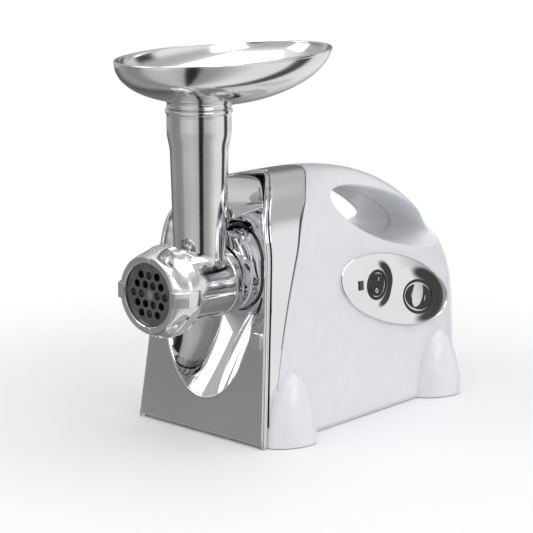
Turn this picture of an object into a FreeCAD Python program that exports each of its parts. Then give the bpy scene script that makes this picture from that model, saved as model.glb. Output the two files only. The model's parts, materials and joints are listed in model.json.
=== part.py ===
import FreeCAD, Part
import math
import os
import re
import Sketcher
from FreeCAD import Matrix, Placement, Rotation, Vector

# Table-top electric meat grinder. Millimetres, +Z up. The auger axis lies along Y and the
# meat leaves towards -Y; the switches are on the +X side. The origin is under the middle
# of the whole grinder, on the surface that it stands on. Lengths called "from the nose"
# are measured rearwards from the bottom front edge of the chrome cover.

sizes = {
    # casing
    "body_length": 274,
    "body_width": 144,
    "body_height": 210,
    "wall": 2.6,
    "cover_wall": 1.6,
    "floor_gap": 5,
    "side_taper": 0.0714,       # how fast each side leans in, per unit of height
    "nose_lean": 0.11,          # how fast the nose leans back, per unit of height
    "curl_height": 50,
    "curl_depth": 60,
    "crest": 100,               # from the nose to where the back begins to fall
    "rear_round": 24,
    "strip_low": 13,            # chrome strip beside the nose, at the bottom and at the top
    "strip_high": 50,
    "grip": 18,
    "hole_front": 110,
    "hole_length": 138,
    "hole_height": 36,
    "hole_flare": 7,
    "throat_half": 25,          # half the straight part of the finger hole
    # feet and floor
    "foot_reach": 92,           # from the middle to the outside of a foot
    "foot_height": 57,
    "foot_length": 47,
    "front_foot": 33,
    "rear_foot": 230,
    "pad_height": 2,
    "pad_radius": 11,
    "plate_thickness": 3,
    # head
    "axis_height": 126,
    "barrel_radius": 28,
    "barrel_end": 3,            # rear wall of the barrel
    "thread_length": 16,
    "head_front": 51,           # barrel mouth, ahead of the nose
    "flange_back": 23,
    "flange_radius": 29.5,
    "neck_radius": 24.3,
    "neck_back": 46,
    "tube_offset": 3,
    "tube_radius": 20.8,
    "tube_top_radius": 23.6,
    "tube_wall": 2.2,
    "bell_radius": 25.9,
    "bell_height": 28,
    "tube_top": 269,
    "saddle_flare": 7,
    "tube_clear": 1.6,          # between the feed tube and the cover behind it
    "plate_proud": 3.5,         # how far the plate stands out of the barrel mouth
    # things in the barrel
    "plate_width": 5,
    "plate_hole": 6.4,
    "plate_pitch": 8.9,
    "blade_width": 4,
    "blade_radius": 23,
    "auger_radius": 24,
    "auger_core": 8,
    "auger_pitch": 26,
    "shank_radius": 8,
    "drive_square": 9.6,
    "seat_square": 8,
    "pin_radius": 3.9,
    "gap": 0.3,
    "running": 0.05,
    # ring nut
    "ring_radius": 37.5,
    "ring_face_radius": 31,
    "ring_mouth": 24,
    "ring_length": 25,
    "ring_lip": 2.3,
    "lug_reach": 7.6,
    "lug_width": 13,
    # tray
    "tray_length": 206,
    "tray_width": 143,
    "tray_depth": 41,
    "tray_top": 309.8,          # the rim, straight above the feed tube
    "tray_reach": 69,           # ahead of the nose
    "tray_lean": 2,             # how far the rim climbs towards the rear, in degrees
    "tray_sag": 0.2,            # how far the bottom lies ahead of the rim, per unit of depth
    "tray_wall": 1.6,
    "spigot_length": 24,
    # head socket
    "socket_radius": 28,
    "socket_rise": 15,
    "socket_front": 25,
    "socket_back": 52,
    "scoop_width": 100,
    "scoop_foot": 31,
    # control panel
    "panel_length": 152,
    "panel_height": 60.6,
    "panel_tilt": 16.9,
    "panel_y": 177,
    "panel_z": 102,
    "panel_thickness": 2.4,
    "power_radius": 10.4,
    "power_y": 149,
    "power_z": 110.5,
    "direction_length": 40,
    "direction_height": 25,
    "direction_y": 205,
    "direction_z": 91,
    "bezel": 1.6,
    "rocker_gap": 0.6,
    # gearbox
    "box_front": 52,
    "box_depth": 40,
    "box_width": 108,
    "box_bottom": 20,
    "box_top": 172,
    "box_wall": 3,
    "box_corner": 14,
    "box_boss": 4.4,
    "first_module": 0.8,
    "second_module": 1.0,
    "third_module": 1.5,
    "pinion_teeth": 12,
    "first_teeth": 56,
    "second_teeth": 48,
    "output_teeth": 54,
    "output_face": 12,
    "second_face": 8,
    "first_face": 6,
    "output_radius": 10,
    "gear_shaft_radius": 4,
    "bush_wall": 2.5,
    # motor
    "motor_height": 70,
    "motor_clear": 6,           # between the gearbox and the motor
    "motor_length": 110,
    "stator_radius": 38,
    "stator_length": 46,
    "rotor_radius": 20.5,
    "air_gap": 0.5,
    "motor_shaft_radius": 4,
    "bearing_radius": 11,
    "bearing_width": 7,
    "fan_radius": 31,
    "fan_width": 10,
    "fan_blades": 11,
    "winding_end": 8,
    "commutator_radius": 12,
    "commutator_length": 15,
    "brush_length": 16,
    "tie_x": 34,                # the two long screws through the motor
    "tie_z": 8,
    # cord gland and fasteners
    "gland_bore": 3.6,
    "gland_radius": 8,
    "gland_height": 30,
    "screw_radius": 1.9,
    "screw_head": 3.4,
    "tie_head": 3.2,
    "pilot_clear": 0.02,
    "boss_radius": 4.6,
    "boss_clear": 12,           # from the gearbox to the casing's first screw
    "well_radius": 3.8,         # deep hole over the head of a casing screw
    "button_width": 12,
    "button_height": 14,
    "button_proud": 2,
    "lens_length": 5,
    "lens_height": 8,
    "lens_y": 129,
    "lens_z": 113,
    "button_x": 57,
    "button_z": 86,
}

doc = FreeCAD.newDocument("meat_grinder")
sheet = doc.addObject("Spreadsheet::Sheet", "Sizes")
for row, (alias, value) in enumerate(sizes.items(), start=1):
    sheet.set("A%d" % row, alias)
    sheet.set("B%d" % row, str(value))
    sheet.setAlias("B%d" % row, alias)
doc.recompute()


def size(alias):
    return float(getattr(sheet, alias))


# Lengths that follow from the sheet, written once as expressions.
followed = {
    "nose": "((tray_reach - body_length) / 2)",
    "first_spacing": "(first_module * (pinion_teeth + first_teeth) / 2)",
    "second_spacing": "(second_module * (pinion_teeth + second_teeth) / 2)",
    "third_spacing": "(third_module * (pinion_teeth + output_teeth) / 2)",
    "motor_back": "(motor_front + motor_length)",
    "motor_front": "(box_back + motor_clear)",
    "box_back": "(box_front + box_depth)",
    "first_stage": "(box_front + box_wall + output_face + second_face + 5)",
    "auger_front": "(blade_front + blade_width + 5)",
    "blade_front": "(plate_width - plate_proud + 0.1 - head_front)",
    "plate_seat_radius": "(auger_radius + 2.4)",
    "ring_front": "(head_front + plate_proud + gap + ring_lip)",
    "nose_at_button": "(nose_lean * button_z)",
    "plate_top": "(floor_gap + 0.5 + plate_thickness)",
    "pad_x": "(foot_reach - pad_radius - 5)",
}
nose = (size("tray_reach") - size("body_length")) / 2
axis = size("axis_height")
box_back = size("box_front") + size("box_depth")
motor_front = box_back + size("motor_clear")
pilot = size("screw_radius") + size("pilot_clear")
subparts = []


def bound(text):
    """The text as a FreeCAD expression: every size name points at its cell."""
    for word, meaning in followed.items():
        text = re.sub(r"\b%s\b" % word, meaning, text)
    return re.sub(r"[a-z]\w*", lambda m: "Sizes." + m.group() if m.group() in sizes else m.group(), text)


def bind(item, **properties):
    for name, text in properties.items():
        item.setExpression(name.replace("__", "."), bound(text))
    return item


def place(item, x="0", y="0", z="0"):
    bind(item, Placement__Base__x=x, Placement__Base__y=y, Placement__Base__z=z)
    return item


def rod(name, radius, y0, y1, x="0", z="axis_height"):
    """A cylinder along +Y between two distances from the nose."""
    item = doc.addObject("Part::Cylinder", name)
    item.Placement = Placement(Vector(), Rotation(Vector(1, 0, 0), -90))
    bind(item, Radius=radius, Height="(%s) - (%s)" % (y1, y0))
    return place(item, x, "nose + " + y0, z)


def post(name, radius, z0, z1, x="0", y="0"):
    """An upright cylinder; y is a distance from the nose."""
    item = doc.addObject("Part::Cylinder", name)
    bind(item, Radius=radius, Height="(%s) - (%s)" % (z1, z0))
    return place(item, x, "nose + " + y, z0)


def frustum(name, r0, r1, z0, z1, y="0"):
    """An upright cone; y is a distance from the nose."""
    item = doc.addObject("Part::Cone", name)
    bind(item, Radius1=r0, Radius2=r1, Height="(%s) - (%s)" % (z1, z0))
    return place(item, "0", "nose + " + y, z0)


def block(name, length, depth, height, x, y, z):
    """A box by its sizes and its low corner; y is a distance from the nose."""
    item = doc.addObject("Part::Box", name)
    bind(item, Length=length, Width=depth, Height=height)
    return place(item, x, "nose + " + y, z)


def fuse(name, pieces):
    item = doc.addObject("Part::MultiFuse", name)
    item.Shapes = pieces
    item.Refine = True
    return item


def cut(name, base, tool):
    item = doc.addObject("Part::Cut", name)
    item.Base = base
    item.Tool = tool
    return item


def solid(name, shape):
    """A shape worked out by Part's own functions, as a document object."""
    item = doc.addObject("Part::Feature", name)
    item.Shape = shape
    return item


def subpart(item, label):
    item.Label = label
    subparts.append(item)
    return item


def origin_plane(body, role):
    return next(item for item in body.Origin.OriginFeatures if item.Role == role)


def polygon_sketch(body, name, role, corners, offset="0"):
    """A closed outline whose every corner is dimensioned from the origin by the sheet."""
    sketch = body.newObject("Sketcher::SketchObject", name)
    sketch.AttachmentSupport = [(origin_plane(body, role), "")]
    sketch.MapMode = "FlatFace"
    sketch.setExpression("AttachmentOffset.Base.z", bound(offset))
    count = len(corners)
    turns = [math.tau * i / count for i in range(count)]
    ring = [Vector(math.cos(turn), math.sin(turn), 0) * 10 for turn in turns]
    for i in range(count):
        sketch.addGeometry(Part.LineSegment(ring[i], ring[(i + 1) % count]))
    for i in range(count):
        sketch.addConstraint(Sketcher.Constraint("Coincident", i, 2, (i + 1) % count, 1))
    for i, (across, up) in enumerate(corners):
        for kind, text, start in (("DistanceX", across, ring[i].x), ("DistanceY", up, ring[i].y)):
            index = sketch.addConstraint(Sketcher.Constraint(kind, -1, 1, i, 1, start))
            sketch.setExpression("Constraints[%d]" % index, bound(text))
    return sketch


def circle_sketch(body, name, role, circles, offset="0"):
    """Circles given as (centre across, centre up, radius), all dimensioned by the sheet."""
    sketch = body.newObject("Sketcher::SketchObject", name)
    sketch.AttachmentSupport = [(origin_plane(body, role), "")]
    sketch.MapMode = "FlatFace"
    sketch.setExpression("AttachmentOffset.Base.z", bound(offset))
    for i, (across, up, radius) in enumerate(circles):
        sketch.addGeometry(Part.Circle(Vector(10 * i + 1, 5, 0), Vector(0, 0, 1), 2))
        for kind, text, spot in (("DistanceX", across, 10 * i + 1), ("DistanceY", up, 5)):
            index = sketch.addConstraint(Sketcher.Constraint(kind, -1, 1, i, 3, spot))
            sketch.setExpression("Constraints[%d]" % index, bound(text))
        index = sketch.addConstraint(Sketcher.Constraint("Radius", i, 2))
        sketch.setExpression("Constraints[%d]" % index, bound(radius))
    return sketch


def pad(body, name, sketch, length, midplane=False, reverse=False):
    item = body.newObject("PartDesign::Pad", name)
    item.Profile = sketch
    item.setExpression("Length", bound(length))
    item.Midplane = midplane
    item.Reversed = reverse
    return item


def through_pocket(body, name, sketch):
    item = body.newObject("PartDesign::Pocket", name)
    item.Profile = sketch
    item.Type = "ThroughAll"
    item.Midplane = True
    return item


def turned(label, profile, x="0", y="0", z="axis_height"):
    """A body turned about a line along Y; corners are (along Y, radius)."""
    body = doc.addObject("PartDesign::Body", label)
    sketch = polygon_sketch(body, label + "_profile", "YZ_Plane", profile)
    spin = body.newObject("PartDesign::Revolution", label + "_turning")
    spin.Profile = sketch
    spin.ReferenceAxis = (origin_plane(body, "Y_Axis"), [""])
    spin.Angle = 360
    place(body, x, "nose + " + y, z)
    return subpart(body, label)


# ---------------------------------------------------------------- casing shapes

def crest_height(y, length, height):
    """Height of the back of the casing at a distance from the nose."""
    run = max(0.0, (y - size("crest")) / (length - size("crest")))
    return height * (1 - min(run, 1.0) ** 2.6) ** 0.25


def nose_line(height):
    """How far the nose has leaned back at a height."""
    start = size("body_height") - size("curl_height")
    if height <= start:
        return size("nose_lean") * height
    rise = min((height - start) / size("curl_height"), 1.0)
    return size("nose_lean") * start + size("curl_depth") * (1 - math.sqrt(1 - rise * rise))


def seam_line(height):
    share = min(height / (0.9 * size("body_height")), 1.0)
    return nose_line(height) + size("strip_low") + (size("strip_high") - size("strip_low")) * share ** 1.8


def arch_wire(y, half, height, bottom):
    """One cross-section of the casing: leaning sides under a round top."""
    spring = height * 2 / 3
    side = half - size("side_taper") * spring
    points = []
    for step in range(0, 181, 15):
        turn = math.radians(step)
        across = math.copysign(abs(math.cos(turn)) ** 0.87, math.cos(turn))
        points.append(Vector(side * across, y, spring + (height - spring) * math.sin(turn) ** 0.87))
    lean = Vector(-size("side_taper"), 0, 1)
    top = Part.BSplineCurve()
    top.interpolate(points, InitialTangent=lean * 60, FinalTangent=Vector(lean.x, 0, -1) * 60)
    foot = half - size("side_taper") * bottom
    right = Vector(foot, y, bottom)
    left = Vector(-foot, y, bottom)
    edges = [Part.makeLine(left, right), Part.makeLine(right, points[0]), top.toShape(),
             Part.makeLine(points[-1], left)]
    return Part.Wire(edges)


def casing_block(skin, bottom):
    """The whole casing as one lump, drawn in by a skin thickness; it runs past the nose."""
    length = size("body_length") - skin
    half = size("body_width") / 2 - skin
    height = size("body_height") - skin
    corner = size("rear_round")
    stations = [(size("crest") * share, half) for share in (-0.15, 0.08, 0.31, 0.54, 0.77, 1)]
    for degrees in (16, 30, 42, 53, 63, 71, 77, 82, 86):
        y = size("crest") + (length - size("crest")) * math.sin(math.radians(degrees))
        turn = max(0.0, 1 - (length - y) / corner)
        stations.append((y, half - corner * (1 - math.sqrt(1 - turn * turn))))
    wires = [arch_wire(y, w, crest_height(y, length, height), bottom) for y, w in stations]
    return Part.makeLoft(wires, True, False)


def side_slab(line, shift, reach):
    """Everything behind a line drawn in the side view, as a slab across the casing."""
    steps = [i * size("body_height") / 24 for i in range(25)]
    curve = Part.BSplineCurve()
    curve.interpolate([Vector(-reach, line(height) + shift, height) for height in steps])
    back = size("body_length") + 20
    low = Vector(-reach, line(0) + shift, -20)
    crown = Vector(-reach, line(steps[-1]) + shift, steps[-1] + 30)
    corners = [Vector(-reach, line(steps[-1]) + shift, steps[-1]), crown, Vector(-reach, back, crown.z),
               Vector(-reach, back, -20), low, Vector(-reach, line(0) + shift, 0)]
    edges = [curve.toShape()] + [Part.makeLine(a, b) for a, b in zip(corners, corners[1:])]
    return Part.Face(Part.Wire(edges)).extrude(Vector(2 * reach, 0, 0))


def grip_outline(x, grow):
    """The finger hole in the side view, grown all round, at one distance from the middle."""
    upper = []
    lower = []
    half = size("hole_height") / 2
    for share in (0.04, 0.16, 0.33, 0.5, 0.67, 0.84, 0.96):
        y = size("hole_front") + size("hole_length") * share
        middle = crest_height(y, size("body_length"), size("body_height")) - size("grip") - half
        bulge = half * math.sin(math.pi * share) ** 0.4 + grow
        spread = grow * (2 * share - 1)
        upper.append(Vector(x, y + spread, middle + bulge))
        lower.append(Vector(x, y + spread, middle - bulge))
    outline = Part.BSplineCurve()
    outline.interpolate(upper + lower[::-1], PeriodicFlag=True)
    return Part.Wire([outline.toShape()])


def grip_tunnel(grow):
    """The finger hole as a solid: straight in the middle and flared at both sides."""
    throat = size("throat_half")
    mouth = size("body_width") / 2
    flare = size("hole_flare")
    pieces = [Part.Face(grip_outline(-throat, grow)).extrude(Vector(2 * throat, 0, 0))]
    for side in (-1, 1):
        between = throat + (mouth - throat) * 0.25
        wires = [grip_outline(side * throat, grow), grip_outline(side * between, grow + flare * 0.25),
                 grip_outline(side * mouth * 1.02, grow + flare * 1.8)]
        pieces.append(Part.makeLoft(wires, True, False))
    return pieces[0].fuse(pieces[1:])


def foot_block(side, y):
    """A teardrop foot: a lump that grows out of the casing's side down to the floor."""
    root = size("body_width") / 2 - 4
    ball = Part.makeSphere(1)
    stretch = Matrix()
    stretch.A11 = size("foot_reach") - root
    stretch.A22 = size("foot_length") / 2
    stretch.A33 = size("foot_height")
    ball = ball.transformGeometry(stretch)
    shear = Matrix()
    shear.A23 = size("nose_lean")
    ball = ball.transformGeometry(shear)
    ball.translate(Vector(side * root, y, 0))
    over = Part.makeBox(400, 400, 400, Vector(-200, y - 200, size("pad_height")))
    return ball.common(over)


def scoop_wire(y, across, low, high, corner):
    """The recess round the head socket, seen from the front, at one distance from the nose."""
    points = []
    for step in range(0, 360, 20):
        turn = math.radians(step)
        right = math.cos(turn)
        up = math.sin(turn)
        if up < 0:
            points.append(Vector(across * right, y, axis + (axis - low) * up))
        else:
            lift = (high - axis) * abs(up) ** 0.7 * (1 + corner * abs(right) ** 1.2)
            points.append(Vector(across * math.copysign(abs(right) ** 0.8, right), y, axis + lift))
    outline = Part.BSplineCurve()
    outline.interpolate(points, PeriodicFlag=True)
    return Part.Wire([outline.toShape()])


def scoop(grow, front, back):
    """The recess as a solid that narrows rearwards to the socket."""
    wide = size("scoop_width") / 2 + grow
    near = size("socket_radius") + 6 + grow
    wires = [scoop_wire(front, wide * 1.1, size("scoop_foot") - grow - 8, axis + 50 + grow, 0.25),
             scoop_wire(20, wide * 0.87, axis - near - 26, axis + 47 + grow, 0.16),
             scoop_wire(back, near, axis - near, axis + near + 12, 0)]
    return Part.makeLoft(wires, True, False)


def tube_groove(grow):
    """The room that the feed tube needs in the front of the cover."""
    radius = size("tube_top_radius") + size("tube_clear") + grow
    return Part.makeCylinder(radius, 90, Vector(0, size("tube_offset"), axis + 20))


def joining_places():
    """Where the two casing halves are screwed together, as (from the nose, height)."""
    return [(box_back + size("boss_clear"), 128), (172, 128), (238, 70)]


def floor_places():
    """Where the base plate is screwed to the casing, as (side, from the nose)."""
    return [(side, y) for side in (-1, 1) for y in (74, 196)]


def floor_screw_x(side):
    return side * (size("body_width") / 2 - size("wall") - 4)


def casing_bosses():
    """Posts inside the casing that take its screws."""
    radius = size("boss_radius")
    reach = size("body_width") / 2
    bosses = [Part.makeCylinder(radius, 2 * reach, Vector(-reach, y, z), Vector(1, 0, 0))
              for y, z in joining_places()]
    top = size("floor_gap") + 0.5 + size("plate_thickness")
    bosses += [Part.makeCylinder(radius, 22, Vector(floor_screw_x(side), y, top)) for side, y in floor_places()]
    return bosses


def casing_screw_holes():
    """Wells and pilot holes for the screws of the casing, the base plate and the feet."""
    reach = size("body_width")
    along = Vector(1, 0, 0)
    holes = []
    for y, z in joining_places():
        holes.append(Part.makeCylinder(size("well_radius"), reach - 12, Vector(-reach, y, z), along))
        holes.append(Part.makeCylinder(pilot, 20, Vector(-13, y, z), along))
    for side, y in floor_places():
        holes.append(Part.makeCylinder(pilot, 13, Vector(floor_screw_x(side), y, size("floor_gap"))))
    for side in (-1, 1):
        for y in (size("front_foot"), size("rear_foot")):
            foot_x = side * (size("foot_reach") - size("pad_radius") - 5)
            holes.append(Part.makeCylinder(pilot, 14, Vector(foot_x, y, 0)))
    return holes


def build_casing():
    outer = casing_block(0, size("floor_gap"))
    behind_nose = side_slab(nose_line, 0, 100)
    behind_seam = side_slab(seam_line, 0, 100)
    to_row = Vector(0, nose, 0)

    cover_hollow = casing_block(size("cover_wall"), -5).common(side_slab(nose_line, size("cover_wall"), 100))
    shell = outer.common(behind_nose).cut(behind_seam).cut(cover_hollow)
    back = size("socket_back") - 3
    pocket_wall = scoop(size("cover_wall"), -12, back + size("cover_wall")).common(outer).common(behind_nose)
    groove_wall = tube_groove(size("cover_wall")).common(outer).common(behind_nose)
    cover = shell.fuse([pocket_wall, groove_wall]).cut(scoop(0, -14, back)).cut(tube_groove(0))
    opening = Part.makeCylinder(size("socket_radius") + 1, 30, Vector(0, back - 8, axis), Vector(0, 1, 0))
    rise = Part.makeCylinder(size("socket_radius") + 1, 30, Vector(0, back - 8, axis + size("socket_rise")),
                             Vector(0, 1, 0))
    button = Part.makeBox(size("button_width") + 1, 40, size("button_height") + 1,
                          Vector(size("button_x") - size("button_width") / 2 - 0.5, -5,
                                 size("button_z") - size("button_height") / 2 - 0.5))
    cover = cover.cut(opening.fuse([rise, button]))
    cover.translate(to_row)
    subpart(solid("cover_shape", cover), "front_cover")

    plastic = casing_block(size("wall"), -5)
    lump = outer.common(behind_seam)
    shell = lump.cut(plastic)
    tunnel_wall = grip_tunnel(size("wall")).common(lump)
    feet = [foot_block(side, y) for side in (-1, 1) for y in (size("front_foot"), size("rear_foot"))]
    behind_bead = side_slab(nose_line, 8, 100)
    feet = [foot.cut(plastic).cut(cover.translated(-to_row)).common(behind_bead) for foot in feet]
    bosses = [boss.common(lump) for boss in casing_bosses()]
    shell = shell.fuse([tunnel_wall] + feet + bosses).cut(grip_tunnel(0)).cut(casing_screw_holes())
    gland = Part.makeCylinder(size("gland_radius") * 0.7, 60,
                              Vector(0, size("body_length") - 30, size("gland_height")), Vector(0, 1, 0))
    shell = shell.cut(gland)
    shell = shell.cut([switch_cutters(), panel_recess()])
    shell.translate(to_row)
    for label, low in (("left_housing", -200), ("right_housing", 0)):
        side = Part.makeBox(200, 600, 400, Vector(low, -300, -50))
        half = shell.common(side)
        subpart(solid(label + "_shape", half), label)


# ---------------------------------------------------------------- control panel on the right side

def panel_frame(y, z):
    """A place on the right side of the casing: X outwards, Y to the rear, Z up the side."""
    out = size("body_width") / 2 - size("side_taper") * z
    lean = math.degrees(math.atan(size("side_taper")))
    return Placement(Vector(out, y, z), Rotation(Vector(0, 1, 0), -lean))


def oval(semi_long, semi_short, low, high, y, z):
    """An oval slab on the side of the casing, between two depths, tilted like the panel."""
    curve = Part.Ellipse(Vector(), max(semi_long, semi_short), min(semi_long, semi_short))
    slab = Part.Face(Part.Wire([curve.toShape()])).extrude(Vector(0, 0, high - low))
    upright = Rotation(Vector(0, 1, 0), Vector(0, 0, 1), Vector(1, 0, 0), "ZXY")
    slab.Placement = Placement(Vector(low, 0, 0), upright)
    slab.rotate(Vector(), Vector(1, 0, 0), -size("panel_tilt"))
    slab.Placement = panel_frame(y, z).multiply(slab.Placement)
    return slab


def power_oval(grow, low, high):
    radius = size("power_radius") + grow
    return oval(radius, radius, low, high, size("power_y"), size("power_z"))


def direction_oval(grow, low, high):
    return oval(size("direction_length") / 2 + grow, size("direction_height") / 2 + grow, low, high,
                size("direction_y"), size("direction_z"))


def switch_cutters():
    """Openings in the casing behind the panel for the two switches."""
    return power_oval(0.6 + size("bezel"), -12, 6).fuse(direction_oval(0.6 + size("bezel"), -12, 6))


def panel_recess():
    """The shallow bed of the panel, where the casing's side curves away from it."""
    return oval(size("panel_length") / 2, size("panel_height") / 2, 0, 6, size("panel_y"), size("panel_z"))


def lens_block(grow, low, high):
    """The indicator's window, an upright block on the panel."""
    long = size("lens_length") + 2 * grow
    tall = size("lens_height") + 2 * grow
    lens = Part.makeBox(high - low, long, tall, Vector(low, -long / 2, -tall / 2))
    lens.Placement = panel_frame(size("lens_y"), size("lens_z")).multiply(lens.Placement)
    return lens


def switch_case(shape_of, label):
    """A switch body: a bezel on the panel, a sleeve through it and a closed box behind."""
    bezel = size("bezel")
    face = size("panel_thickness")
    case = shape_of(bezel, -14, face).fuse(shape_of(bezel + 1.2, face, face + 1.4))
    case = case.cut(shape_of(0, -9, face + 3))
    case.translate(Vector(0, nose, 0))
    subpart(solid(label + "_shape", case), label)


def rocker(shape_of, label, valley, across):
    """A rocker: two shallow faces that meet in a valley across the middle."""
    face = size("panel_thickness")
    gap = size("rocker_gap")
    body = shape_of(-gap, -5, face + 2.6)
    frame = panel_frame(valley[0], valley[1])
    frame = frame.multiply(Placement(Vector(), Rotation(Vector(1, 0, 0), across)))
    groove = Part.makeCylinder(90, 80, Vector(face + 91.4, -40, 0), Vector(0, 1, 0))
    groove.Placement = frame.multiply(groove.Placement)
    body = body.cut(groove)
    body.translate(Vector(0, nose, 0))
    subpart(solid(label + "_shape", body), label)


def build_panel():
    half_long = size("panel_length") / 2
    half_short = size("panel_height") / 2
    face = size("panel_thickness")
    plate = oval(half_long, half_short, 0, face, size("panel_y"), size("panel_z"))
    plate = plate.cut(power_oval(size("bezel") + 0.1, -2, face + 4))
    plate = plate.cut(direction_oval(size("bezel") + 0.1, -2, face + 4)).cut(lens_block(0.1, -2, face + 4))
    plate.translate(Vector(0, nose, 0))
    subpart(solid("panel_shape", plate), "control_panel")
    lens = lens_block(0, 0, face + 0.5)
    lens.translate(Vector(0, nose, 0))
    subpart(solid("lens_shape", lens), "indicator_lens")
    switch_case(power_oval, "power_switch_case")
    switch_case(direction_oval, "direction_switch_case")
    rocker(power_oval, "power_rocker", (size("power_y"), size("power_z")), 0)
    middle = (size("direction_y"), size("direction_z"))
    rocker(direction_oval, "direction_rocker", middle, 90 - size("panel_tilt"))


# ---------------------------------------------------------------- head, tray and ring

def build_head():
    tube = "tube_offset"
    shells = [
        rod("barrel_skin", "barrel_radius", "0 - head_front + thread_length", "flange_back"),
        rod("barrel_thread", "barrel_radius + 0.5", "0 - head_front", "0 - head_front + thread_length"),
        rod("barrel_flange", "flange_radius", "flange_back - 7", "flange_back"),
        rod("neck_skin", "neck_radius", "flange_back - 1", "neck_back"),
        frustum("saddle", "tube_radius + saddle_flare", "tube_radius", "axis_height + 12",
                "axis_height + barrel_radius + 5", tube),
        frustum("tube_skin", "tube_radius", "tube_top_radius", "axis_height", "tube_top - bell_height - 4",
                tube),
        frustum("bell_shoulder", "tube_top_radius", "bell_radius", "tube_top - bell_height - 4",
                "tube_top - bell_height + 2", tube),
        post("bell_skin", "bell_radius", "tube_top - bell_height + 2", "tube_top", "0", tube),
        post("bell_bead", "bell_radius + 1.2", "tube_top - 3", "tube_top", "0", tube),
    ]
    hollows = [
        rod("barrel_bore", "auger_radius + gap + 0.1", "blade_front + 1.9", "flange_back - barrel_end"),
        rod("plate_seat", "plate_seat_radius", "0 - head_front - 1", "blade_front + 1.9"),
        rod("shank_bore", "shank_radius + 3", "flange_back - barrel_end - 1", "neck_back + 1"),
        frustum("tube_bore", "tube_radius - tube_wall", "tube_top_radius - tube_wall", "axis_height",
                "tube_top - bell_height + 1", tube),
        post("bell_bore", "bell_radius - tube_wall", "tube_top - bell_height + 1", "tube_top + 1", "0", tube),
    ]
    behind = block("behind_head", "80", "20", "barrel_radius + 10", "0 - 40", "flange_back", "axis_height")
    hollows.append(cut("saddle_trim", behind, rod("neck_room", "neck_radius", "flange_back - 1", "neck_back")))
    head = cut("head_shape", fuse("head_skin", shells), fuse("head_hollow", hollows))
    subpart(head, "head_housing")
    low = "flange_back - barrel_end"
    turned("thrust_bush", [(low, "shank_radius + running"), ("neck_back - 2", "shank_radius + running"),
                           ("neck_back - 2", "shank_radius + 3"), (low, "shank_radius + 3")])


def square_bar(name, across, y0, y1, grow="0"):
    half = "(%s) / 2 + (%s)" % (across, grow)
    bar = block(name, "2 * (%s)" % half, "(%s) - (%s)" % (y1, y0), "2 * (%s)" % half,
                "0 - (%s)" % half, y0, "axis_height - (%s)" % half)
    return bar


def auger_flight():
    """One helical flight, swept round the core and kept between its two ends."""
    start = size("plate_width") - size("plate_proud") + 5.1 - size("head_front") + size("blade_width")
    length = size("flange_back") - size("barrel_end") - size("gap") - start
    helix = Part.makeHelix(size("auger_pitch"), length - 4, size("auger_core"))
    root = size("auger_core") - 1
    tip = size("auger_radius")
    corners = [Vector(root, 0, -2.6), Vector(tip, 0, -1.1), Vector(tip, 0, 1.1), Vector(root, 0, 2.6)]
    outline = Part.makePolygon(corners + corners[:1])
    flight = Part.Wire(helix).makePipeShell([outline], True, True)
    flight.rotate(Vector(), Vector(1, 0, 0), -90)
    flight.translate(Vector(0, nose + start + 2, axis))
    limit = Part.makeCylinder(tip + 1, length, Vector(0, nose + start, axis), Vector(0, 1, 0))
    return flight.common(limit)


def build_auger():
    core = [
        rod("auger_core_bar", "auger_core", "auger_front", "flange_back - barrel_end - gap"),
        rod("auger_shank", "shank_radius", "flange_back - barrel_end - gap", "neck_back + 1"),
        square_bar("auger_drive", "drive_square", "neck_back + 1", "neck_back + 13"),
        square_bar("auger_seat", "seat_square - 0.2", "blade_front + 3", "auger_front + 0.5"),
        rod("auger_pin", "pin_radius", "0.5 - head_front - plate_proud", "blade_front + 3.4"),
        solid("auger_flight_shape", auger_flight()),
    ]
    subpart(fuse("auger_shape", core), "auger")


def build_plate():
    """The grinding plate: a disc with a hexagonal field of holes round a bore for the pin."""
    body = doc.addObject("PartDesign::Body", "grinding_plate")
    disc = circle_sketch(body, "plate_outline", "XZ_Plane", [("0", "0", "plate_seat_radius - running")])
    pad(body, "plate_disc", disc, "plate_width", reverse=True)
    pitch = "plate_pitch"
    row_height = "%s * 0.866" % pitch
    holes = [("0", "0", "pin_radius + running")]
    for row, count in ((-2, 3), (-1, 4), (0, 5), (1, 4), (2, 3)):
        for i in range(count):
            shift = i - (count - 1) / 2
            if row or shift:
                holes.append(("%s * %s" % (pitch, shift), "%s * %d" % (row_height, row), "plate_hole / 2"))
    through_pocket(body, "plate_holes", circle_sketch(body, "plate_hole_field", "XZ_Plane", holes))
    place(body, "0", "nose - head_front - plate_proud", "axis_height")
    subpart(body, "grinding_plate")


def build_blade():
    """A four-winged knife that seats on the square behind the plate."""
    hub = rod("blade_hub", "seat_square", "blade_front", "blade_front + blade_width + 3")
    wings = []
    for i in range(4):
        wing = block("blade_wing%d" % i, "blade_radius - 4", "blade_width", "5.5", "4", "blade_front",
                     "axis_height - 2.75")
        turned_wing = Placement(Vector(), Rotation(Vector(0, 1, 0), 90 * i))
        shape = doc.addObject("Part::Compound", "blade_wing%d_turned" % i)
        shape.Links = [wing]
        shape.Placement = Placement(Vector(0, 0, axis), turned_wing.Rotation, Vector()).multiply(
            Placement(Vector(0, 0, -axis), Rotation()))
        wings.append(shape)
    hole = square_bar("blade_hole", "seat_square", "blade_front - 1", "auger_front")
    subpart(cut("blade_shape", fuse("blade_skin", [hub] + wings), hole), "cutting_blade")


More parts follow.
